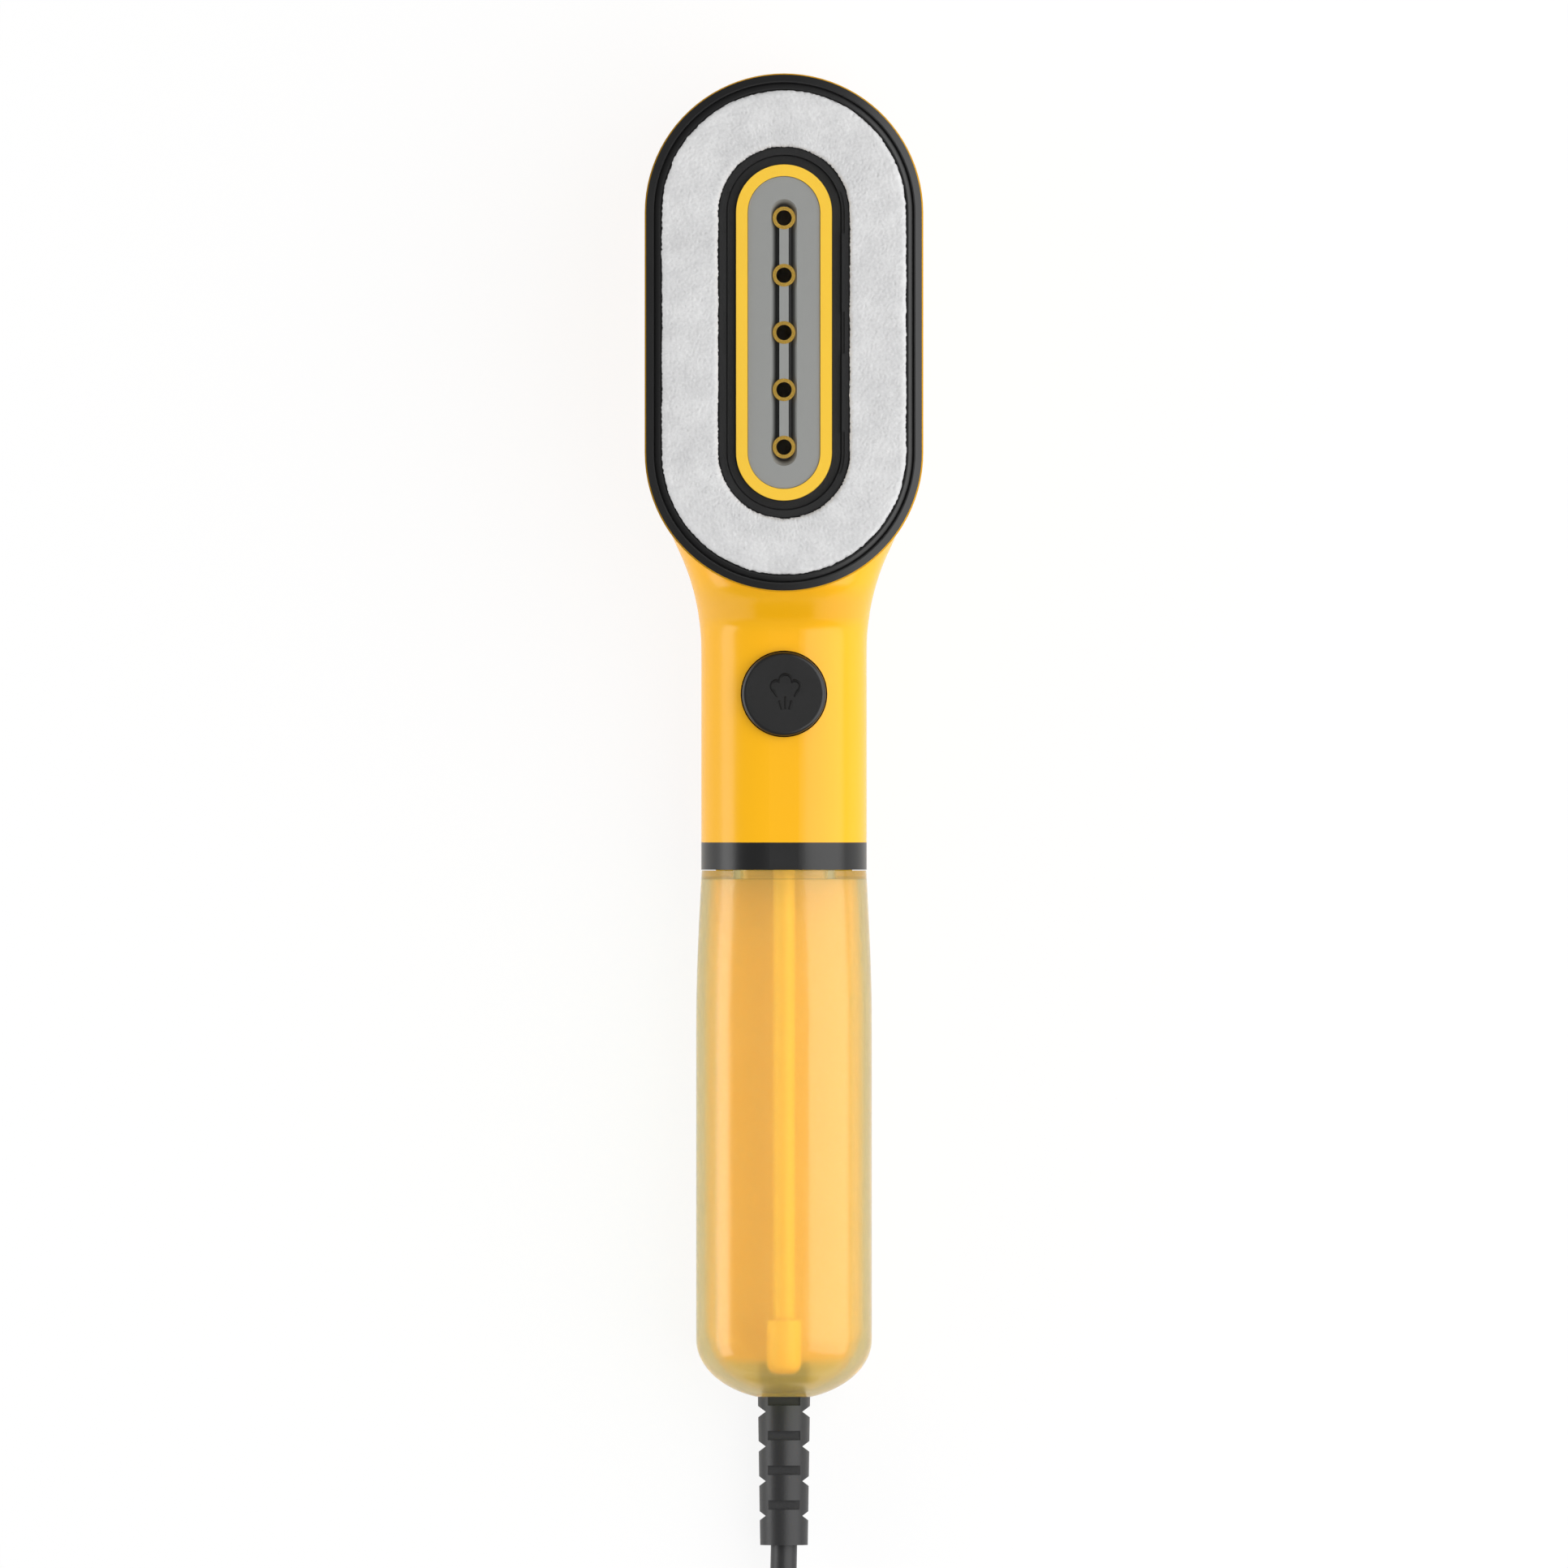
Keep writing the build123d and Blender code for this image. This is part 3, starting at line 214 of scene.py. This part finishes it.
def coil_line(angle):
    """The coil by the angle wound, in degrees: the radius falls by a pitch a turn along the floor, dips while
    the cord climbs a layer, grows by a pitch a turn on top, then the tail bends in to the plug."""
    rise = np.clip((angle - layer_angle) / 180, 0, 1)
    climb = np.clip((angle - climb_start) / tail_climb, 0, 1)
    radius = coil_radius - coil_pitch * np.clip(angle, 0, layer_angle) / 360
    radius -= coil_pitch / 2 * (rise - rise * rise)
    radius += coil_pitch * np.clip(angle - layer_angle - 180, 0, layer_angle) / 360
    radius += coil_pitch * tail_climb / 360 * (climb - climb * climb)
    height = coil_floor_z + coil_pitch * smooth(rise) + (plug_axis_z - coil_upper_z) * smooth(climb)
    centre = coil_start[:2] - coil_radius * around(np.array(0.0))
    hub = centre + (coil_radius - tail_radius) * around(np.array(tail_start))
    wound = centre + radius[:, None] * around(angle)
    tail = hub + tail_radius * around(angle)
    flat = np.where((angle > tail_start)[:, None], tail, wound)
    return np.column_stack([flat, height])


coil_points = coil_line(np.arange(0.0, coil_end, 360 / coil_steps))
tail_end = coil_line(np.array([coil_end]))
plug_start = tail_end + (0.0, cord_diameter, 0.0)
cord_points = np.concatenate([free_run, coil_points, tail_end, plug_start])

# The points carry the cord's radius, so the curve's own bevel is 1.
cord_curve = bpy.data.curves.new("supply_cord", "CURVE")
cord_curve.dimensions = "3D"
cord_curve.bevel_depth = 1.0
cord_curve.bevel_resolution = 5
cord_curve.resolution_u = 4
cord_curve.use_fill_caps = True
cord_spline = cord_curve.splines.new("NURBS")
cord_spline.points.add(len(cord_points) - 1)
cord_spline.points.foreach_set("co", np.column_stack([cord_points, np.ones(len(cord_points))]).ravel())
cord_spline.points.foreach_set("radius", np.full(len(cord_points), cord_radius))
cord_spline.order_u = 3
cord_spline.use_endpoint_u = True
supply_cord = bpy.data.objects.new("supply_cord", cord_curve)
scene.collection.objects.link(supply_cord)
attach(supply_cord, "housing")
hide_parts("power_cord", "cord_coil")


# Jacket and plug: the cord's jacket, its bend relief and the moulded plug are one soft black plastic.
# The relief is cut from the sides and from front and back in turn, so that it bends.
gloss_spread = 0.06


def moulding_group():
    """Moulding grain: a broad noise dulls colour and gloss in patches, a fine one gives the height."""
    group = bpy.data.node_groups.new("moulding_grain", "ShaderNodeTree")
    for name, kind in (("Colour", "Color"), ("Roughness", "Float"), ("Scale", "Float"), ("Mottle", "Float")):
        group.interface.new_socket(name, in_out="INPUT", socket_type="NodeSocket" + kind)
    for name, kind in (("Colour", "Color"), ("Roughness", "Float"), ("Height", "Float")):
        group.interface.new_socket(name, in_out="OUTPUT", socket_type="NodeSocket" + kind)
    inlet = group.nodes.new("NodeGroupInput")
    outlet = group.nodes.new("NodeGroupOutput")
    place = add_node(group, "TexCoord")
    broad = add_node(group, "TexNoise", Scale=90.0, Detail=3.0)
    fine = add_node(group, "TexNoise", Detail=2.0)
    darker = add_node(group, "Mix")
    darker.data_type = "RGBA"
    darker.inputs["B"].default_value = (0.0, 0.0, 0.0, 1.0)
    patch = add_node(group, "Math")
    patch.operation = "MULTIPLY"
    spread = add_node(group, "MapRange", To_Min=-gloss_spread, To_Max=gloss_spread)
    dull = add_node(group, "Math")
    dull.operation = "ADD"
    links = group.links
    links.new(place.outputs["Object"], broad.inputs["Vector"])
    links.new(place.outputs["Object"], fine.inputs["Vector"])
    links.new(inlet.outputs["Scale"], fine.inputs["Scale"])
    links.new(broad.outputs["Fac"], patch.inputs[0])
    links.new(inlet.outputs["Mottle"], patch.inputs[1])
    links.new(patch.outputs[0], darker.inputs["Factor"])
    links.new(inlet.outputs["Colour"], darker.inputs["A"])
    links.new(darker.outputs["Result"], outlet.inputs["Colour"])
    links.new(broad.outputs["Fac"], spread.inputs["Value"])
    links.new(inlet.outputs["Roughness"], dull.inputs[0])
    links.new(spread.outputs["Result"], dull.inputs[1])
    links.new(dull.outputs[0], outlet.inputs["Roughness"])
    links.new(fine.outputs["Fac"], outlet.inputs["Height"])
    return group


moulding_grain = moulding_group()


def moulded(name, colour, roughness, grain=2600.0, mottle=0.06, relief=0.00002, **sockets):
    """A moulded, cast or plated finish: moulding grain on colour, gloss and height, other sockets by name."""
    material = bpy.data.materials.new(name)
    material.use_nodes = True
    tree = material.node_tree
    surface = tree.nodes["Principled BSDF"]
    for socket, value in sockets.items():
        surface.inputs[socket.replace("_", " ")].default_value = value
    skin = tree.nodes.new("ShaderNodeGroup")
    skin.node_tree = moulding_grain
    skin.inputs["Colour"].default_value = (*colour, 1.0)
    skin.inputs["Roughness"].default_value = roughness
    skin.inputs["Scale"].default_value = grain
    skin.inputs["Mottle"].default_value = mottle
    bump = add_node(tree, "Bump", Strength=0.6, Distance=relief)
    tree.links.new(skin.outputs["Colour"], surface.inputs["Base Color"])
    tree.links.new(skin.outputs["Roughness"], surface.inputs["Roughness"])
    tree.links.new(skin.outputs["Height"], bump.inputs["Height"])
    tree.links.new(bump.outputs["Normal"], surface.inputs["Normal"])
    return material


def dress(material, *names):
    """Gives CAD nodes their finish."""
    for name in names:
        nodes[name].data.materials.clear()
        nodes[name].data.materials.append(material)


cord_jacket = moulded("cord_jacket", (0.018, 0.018, 0.019), 0.42, grain=1800.0, relief=0.00004)
supply_cord.data.materials.append(cord_jacket)
dress(cord_jacket, "strain_relief", "inner_lead", "plug_body")
dress(moulded("tie_webbing", (0.02, 0.02, 0.022), 0.8, grain=4200.0, relief=0.00025), "cord_ties")
dress(moulded("blade_brass", (0.78, 0.55, 0.22), 0.26, Metallic=1.0), "plug_blades")

# Housing: two moulded shells in glossy yellow, parted along the sides of grip and head.
# The rear one runs on as a spine behind the tank, closed by a screwed cover over the supply lead.
yellow_shell = moulded(
    "yellow_shell", (0.96, 0.48, 0.006), 0.24, mottle=0.03, relief=0.000008, Specular_IOR_Level=0.38
)
dress(yellow_shell, "front_shell", "rear_shell", "spine_cover")
dress(moulded("zinc_screw", (0.62, 0.62, 0.63), 0.32, Metallic=1.0), "housing_screws", "spine_screws")

# Boiler: cast aluminium base and cover with a heater rod between base and back, sealed by a pale gasket.
# A thermostat and a thermal fuse sit on the cover.
cast_alloy = moulded("cast_alloy", (0.62, 0.62, 0.62), 0.5, grain=900.0, relief=0.00012, Metallic=1.0)
dull_steel = moulded("dull_steel", (0.42, 0.42, 0.43), 0.4, Metallic=1.0)
pale_silicone = moulded("pale_silicone", (0.74, 0.72, 0.66), 0.48, Subsurface_Weight=0.15)
nylon = moulded("nylon", (0.76, 0.75, 0.7), 0.45)
dress(cast_alloy, "boiler_base", "boiler_cover")
dress(dull_steel, "heater_rod", "thermostat")
dress(pale_silicone, "boiler_gasket")
dress(nylon, "thermal_fuse")
dress(moulded("boiler_bolt", (0.6, 0.6, 0.61), 0.34, Metallic=1.0), "boiler_screws")


def squeeze(name):
    """Gives a coil spring a mesh of its own."""
    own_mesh(nodes[name])


squeeze("pump_spring")
dress(nylon, "pump_barrel")
dress(dull_steel, "pump_yoke", "pump_piston")
dress(moulded("winding_varnish", (0.42, 0.16, 0.06), 0.3, relief=0.0002), "pump_winding")
dress(moulded("spring_wire", (0.6, 0.6, 0.61), 0.28, Metallic=1.0), "pump_spring", "button_spring")
dress(pale_silicone, "inlet_hose", "outlet_hose")

# Switch: a circuit board under the button with a small switch in a nylon carrier, and the two wires to it.
# A coil spring on the carrier lifts the button.
squeeze("button_spring")
dress(moulded("board_resist", (0.02, 0.16, 0.07), 0.35), "control_board")
dress(moulded("switch_case", (0.03, 0.03, 0.034), 0.4), "microswitch", "switch_plunger")
dress(nylon, "switch_carrier")
dress(moulded("wire_cover", (0.3, 0.16, 0.07), 0.45), "core_wires")

# Steam face: a black bezel with a bevelled rim, and the frame that holds the pad inside it.
# A yellow silicone ring goes round the grey plate, whose slot holds five brass nozzle rings
# and has painted shade in it, darker towards its floor.
plate_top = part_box("nozzle_plate")[1].z
slot_rim_drop = 0.0004
slot_depth = 0.0016
slot_painted_shade = 0.93


def painted_shade_below(material, high, low, share):
    """Paints shade into a finish by height: none at the upper one, the share given at the lower one."""
    tree = material.node_tree
    base = tree.nodes["Principled BSDF"].inputs["Base Color"]
    clean = base.links[0].from_socket
    place = add_node(tree, "TexCoord")
    split = add_node(tree, "SeparateXYZ")
    fade = add_node(tree, "MapRange", From_Min=high, From_Max=low, To_Min=0.0, To_Max=share)
    darker = add_node(tree, "Mix")
    darker.data_type = "RGBA"
    darker.inputs["B"].default_value = (0.0, 0.0, 0.0, 1.0)
    tree.links.new(place.outputs["Object"], split.inputs["Vector"])
    tree.links.new(split.outputs["Z"], fade.inputs["Value"])
    tree.links.new(fade.outputs["Result"], darker.inputs["Factor"])
    tree.links.new(clean, darker.inputs["A"])
    tree.links.new(darker.outputs["Result"], base)


black_plastic = moulded("black_plastic", (0.007, 0.007, 0.0073), 0.3)
dress(black_plastic, "face_plate", "pad_frame")
dress(moulded("yellow_silicone", (0.97, 0.57, 0.03), 0.42, Subsurface_Weight=0.08), "ring_seal")
grey_plate = moulded("grey_plate", (0.31, 0.315, 0.305), 0.42, Metallic=0.35, mottle=0.08)
# Painted shade in the nozzle slot: the plate's colour darkens below the slot's rim, most at its floor.
painted_shade_below(grey_plate, plate_top - slot_rim_drop, plate_top - slot_depth, slot_painted_shade)
dress(grey_plate, "nozzle_plate")
dress(moulded("nozzle_brass", (0.8, 0.5, 0.1), 0.25, Metallic=1.0), "nozzle_eyelets")


# Pad: a slot-shaped ring of short grey pile on a soft backing, cut to shape and laid in its frame.
# Its cut edges are a little ragged and its face is napped.
pad_low, pad_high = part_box("fabric_pad")
pad_outer = (pad_high.x - pad_low.x) / 2
pad_inner = 0.0154
pad_reach = (pad_high.y - pad_low.y) / 2 - pad_outer
pad_centre_y = (pad_high.y + pad_low.y) / 2
pad_edge = 0.0012
nap_height = 0.00007
nap_blur = (1.2, 1.2)
nap_lump = 0.00004
lump_blur = (14, 14)
nap_limit = 0.0002
fray = 0.00003
fray_blur = (2.0, 6)
blur_softness = 6
pad_steps = 1080
pad_edge_points = 6
pad_side_points = 4
pad_top_points = 44
pad_under_points = 6


def fibre_noise(shape, blur, seed):
    """Random heights with unit spread whose fast waves are damped, so they are smooth over the blur along
    rows and columns, in grid steps, and join up at the grid's edges."""
    heights = np.random.default_rng(seed).standard_normal(shape)
    row_waves = np.fft.fftfreq(shape[0])[:, None] * blur[0]
    column_waves = np.fft.fftfreq(shape[1])[None, :] * blur[1]
    damping = np.exp(-2 * math.pi**2 * (row_waves**2 + column_waves**2) / blur_softness)
    smoothed = np.fft.ifft2(np.fft.fft2(heights) * damping).real
    return smoothed / smoothed.std()


def slot_course(steps, radius, reach):
    """Even steps round a slot outline: its core point, which runs between the two arc centres on the straight
    sides and stays on one of them in the arcs, and the unit vector outwards."""
    straight = 2 * reach
    arc = math.pi * radius
    along = np.arange(steps) / steps * 2 * (straight + arc)
    second = along >= straight + arc
    part = np.where(second, along - straight - arc, along)
    turn = np.pi * np.clip((part - straight) / arc, 0, 1) + np.pi * second
    core = np.clip(part, 0, straight) - reach
    core = np.where(second, -core, core)
    zero = np.zeros(steps)
    return np.column_stack([zero, core]), np.column_stack([np.cos(turn), np.sin(turn)])


def pad_profile(inner, outer, low, high, edge):
    """Once round the pad's section, from the inner lower corner: up the side, over a round edge, across the
    top, over the outer edge, down, and back underneath. Gives radius, height and how far out of the pad each
    point's skin faces, as two parts."""
    quarter = np.linspace(0, math.pi / 2, pad_edge_points)
    side = np.linspace(low, high - edge, pad_side_points + 1)[:-1]
    top = np.linspace(inner + edge, outer - edge, pad_top_points + 2)[1:-1]
    under = np.linspace(outer, inner, pad_under_points + 2)[1:-1]
    on_side = np.ones(len(side))
    on_top = np.ones(len(top))
    on_under = np.ones(len(under))
    inner_edge = inner + edge - edge * np.cos(quarter)
    outer_edge = outer - edge + edge * np.sin(quarter)
    rise = high - edge + edge * np.sin(quarter)
    fall = high - edge + edge * np.cos(quarter)
    radius = [inner * on_side, inner_edge, top, outer_edge, outer * on_side, under]
    height = [side, rise, high * on_top, fall, side[::-1], low * on_under]
    outwards = [-on_side, -np.cos(quarter), 0 * on_top, np.sin(quarter), on_side, 0 * on_under]
    upwards = [0 * on_side, np.sin(quarter), on_top, np.cos(quarter), 0 * on_side, 0 * on_under]
    return [np.concatenate(rows) for rows in (radius, height, outwards, upwards)]


def grid_piece(name, grid, material):
    """A closed tube of a grid: both its directions run round, and each cell is one face."""
    rows, columns = grid.shape[:2]
    index = np.arange(rows * columns).reshape(rows, columns)
    right = np.roll(index, -1, axis=1)
    faces = np.stack([index, right, np.roll(right, -1, axis=0), np.roll(index, -1, axis=0)], axis=-1)
    mesh = bpy.data.meshes.new(name)
    mesh.from_pydata(grid.reshape(-1, 3).tolist(), [], faces.reshape(-1, 4).tolist())
    mesh.shade_smooth()
    mesh.materials.append(material)
    piece = bpy.data.objects.new(name, mesh)
    scene.collection.objects.link(piece)
    return piece


def pile_material():
    """Short pale grey pile: tufts and broader clouds shift its colour and stand it up, with a soft sheen."""
    material = bpy.data.materials.new("grey_pile")
    material.use_nodes = True
    tree = material.node_tree
    surface = tree.nodes["Principled BSDF"]
    surface.inputs["Sheen Weight"].default_value = 0.25
    surface.inputs["Roughness"].default_value = 0.9
    surface.inputs["Specular IOR Level"].default_value = 0.15
    place = add_node(tree, "TexCoord")
    tufts = add_node(tree, "TexNoise", Scale=1500.0, Detail=4.0, Roughness=0.7)
    clouds = add_node(tree, "TexNoise", Scale=160.0, Detail=3.0)
    both = add_node(tree, "Mix", Factor=0.5)
    shade = add_node(tree, "ValToRGB")
    shade.color_ramp.elements[0].position = 0.3
    shade.color_ramp.elements[0].color = (0.56, 0.56, 0.565, 1.0)
    shade.color_ramp.elements[1].position = 0.68
    shade.color_ramp.elements[1].color = (0.74, 0.74, 0.74, 1.0)
    bump = add_node(tree, "Bump", Strength=0.7, Distance=0.0001)
    tree.links.new(place.outputs["Object"], tufts.inputs["Vector"])
    tree.links.new(place.outputs["Object"], clouds.inputs["Vector"])
    tree.links.new(tufts.outputs["Fac"], both.inputs["A"])
    tree.links.new(clouds.outputs["Fac"], both.inputs["B"])
    tree.links.new(both.outputs["Result"], shade.inputs["Fac"])
    tree.links.new(shade.outputs["Color"], surface.inputs["Base Color"])
    tree.links.new(tufts.outputs["Fac"], bump.inputs["Height"])
    tree.links.new(bump.outputs["Normal"], surface.inputs["Normal"])
    return material


pad_radius, pad_height, pad_out, pad_up = pad_profile(pad_inner, pad_outer, pad_low.z, pad_high.z, pad_edge)
pad_core, pad_way = slot_course(pad_steps, (pad_inner + pad_outer) / 2, pad_reach)
pad_shape = (pad_steps, len(pad_radius))
pad_nap = nap_height * fibre_noise(pad_shape, nap_blur, seed=3)
pad_nap += nap_lump * fibre_noise(pad_shape, lump_blur, seed=4)
pad_fray = fray * fibre_noise(pad_shape, fray_blur, seed=5)
pad_skin = np.minimum(pad_nap, nap_limit) - nap_height
pad_r = pad_radius + pad_out * (pad_skin + pad_fray)
pad_z = pad_height + pad_up * pad_skin
pad_flat = pad_core[:, None, :] + pad_r[:, :, None] * pad_way[:, None, :] + (0.0, pad_centre_y)
pad_grid = np.concatenate([pad_flat, pad_z[:, :, None]], axis=2)
fabric_ring = grid_piece("fabric_ring", pad_grid, pile_material())
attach(fabric_ring, "pad")
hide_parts("fabric_pad")

# Button: a round black cap under the thumb.
# A steam cloud and three jets are raised on it as thin ridges.
dress(black_plastic, "steam_button")
button_low, button_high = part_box("steam_button")
icon_shift = 0.00035
icon_centre = ((button_low.x + button_high.x) / 2 + icon_shift, (button_low.y + button_high.y) / 2)
ridge_half_width = 0.00034
ridge_height = 0.00016
ridge_sides = 10
ridge_end_power = 20
ridge_end_fall = 0.999
lobe_radius = 0.0013
lobe_foot_angle = -55
lobe_low_angle = -52
lobe_high_angle = 105
crown_radius = 0.00145
crown_left_angle = 190
crown_right_angle = -10
lobe_place = (0.0021, 0.0018)
crown_place = (0.0, 0.0031)
cloud_foot = (0.0019, -0.0008)
arc_points = 22
foot_points = 8
jet_points = 24
jet_starts = [(-0.0015, -0.0015), (0.0, -0.0005), (0.0015, -0.0015)]
jet_ends = [(-0.00085, -0.0037), (0.0, -0.0036), (0.00085, -0.0037)]


def flat_arc(centre, radius, first, last):
    """Points on an arc, between two angles in degrees."""
    turn = np.radians(np.linspace(first, last, arc_points))
    return np.column_stack([np.cos(turn), np.sin(turn)]) * radius + centre


def ridge(course):
    """A rounded ridge along a flat course: an ellipse across it at each point, drawn in at both ends."""
    along = np.gradient(course, axis=0)
    along /= np.linalg.norm(along, axis=1)[:, None]
    across = np.column_stack([-along[:, 1], along[:, 0]])
    draw_in = np.sqrt(1 - ridge_end_fall * np.abs(np.linspace(-1, 1, len(course))) ** ridge_end_power)
    turn = np.arange(ridge_sides) / ridge_sides * 2 * math.pi
    reach = ridge_half_width * draw_in[:, None] * np.cos(turn)
    rise = ridge_height * draw_in[:, None] * np.sin(turn)
    flat = course[:, None] + reach[:, :, None] * across[:, None]
    return np.concatenate([flat, rise[:, :, None]], axis=2)


def ridge_faces(rows, columns, first):
    """The faces of one ridge whose points start at the number given, with its two ends closed."""
    index = first + np.arange(rows * columns).reshape(rows, columns)
    right = np.roll(index, -1, axis=1)
    sides = np.stack([index[:-1], right[:-1], right[1:], index[1:]], axis=-1)
    return sides.reshape(-1, 4).tolist() + [index[0, ::-1].tolist(), index[-1].tolist()]


mirror = np.array([-1.0, 1.0])
lobe_foot = flat_arc(lobe_place, lobe_radius, lobe_foot_angle, lobe_foot_angle)[0]
cloud = np.concatenate([
    np.linspace(cloud_foot, lobe_foot, foot_points) * mirror,
    flat_arc(lobe_place, lobe_radius, lobe_low_angle, lobe_high_angle) * mirror,
    flat_arc(crown_place, crown_radius, crown_left_angle, crown_right_angle),
    flat_arc(lobe_place, lobe_radius, lobe_high_angle, lobe_low_angle),
    np.linspace(lobe_foot, cloud_foot, foot_points),
])
icon_lines = [cloud] + [np.linspace(start, end, jet_points) for start, end in zip(jet_starts, jet_ends)]
icon_points = []
icon_faces = []
for line in icon_lines:
    line_grid = ridge(line + icon_centre) + (0.0, 0.0, button_high.z)
    icon_faces += ridge_faces(*line_grid.shape[:2], len(icon_points))
    icon_points += line_grid.reshape(-1, 3).tolist()
icon_mesh = bpy.data.meshes.new("steam_icon")
icon_mesh.from_pydata(icon_points, [], icon_faces)
icon_mesh.shade_smooth()
icon_mesh.materials.append(moulded("icon_black", (0.004, 0.004, 0.004), 0.45, Specular_IOR_Level=0.2))
steam_icon = bpy.data.objects.new("steam_icon", icon_mesh)
scene.collection.objects.link(steam_icon)
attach(steam_icon, "button")

# Dock: the black collar that closes the grip and takes the tank's neck.
# A pale silicone seal lies round the neck inside it.
dress(black_plastic, "dock_collar")
dress(pale_silicone, "neck_seal")

# Water tank: slightly milky amber plastic in two mouldings, with a suction tube and its filter inside.
# Light passes through its walls to what stands behind them, so it throws only a pale tinted shadow.
amber = moulded(
    "amber_plastic", (0.98, 0.80, 0.40), 0.17, mottle=0.0, relief=0.000004, Transmission_Weight=0.9, IOR=1.46
)
amber_tree = amber.node_tree
amber_shadow = add_node(amber_tree, "BsdfTransparent", Color=(0.87, 0.98, 0.70, 1.0))
amber_path = add_node(amber_tree, "LightPath")
amber_mix = add_node(amber_tree, "MixShader")
amber_tree.links.new(amber_path.outputs["Is Shadow Ray"], amber_mix.inputs["Fac"])
amber_tree.links.new(amber_tree.nodes["Principled BSDF"].outputs[0], amber_mix.inputs[1])
amber_tree.links.new(amber_shadow.outputs[0], amber_mix.inputs[2])
amber_tree.links.new(amber_mix.outputs[0], amber_tree.nodes["Material Output"].inputs["Surface"])
dress(amber, "tank_body", "tank_lid")
amber_silicone = moulded("amber_silicone", (0.96, 0.5, 0.04), 0.45, Subsurface_Weight=0.15)
dress(amber_silicone, "suction_tube", "suction_filter")

# Cord clamp: a nylon bar with two screws in the spine's channel.
# It takes any pull on the lead before the wires do.
dress(nylon, "cord_clamp")
dress(moulded("clamp_screw", (0.6, 0.6, 0.61), 0.34, Metallic=1.0), "clamp_screws")
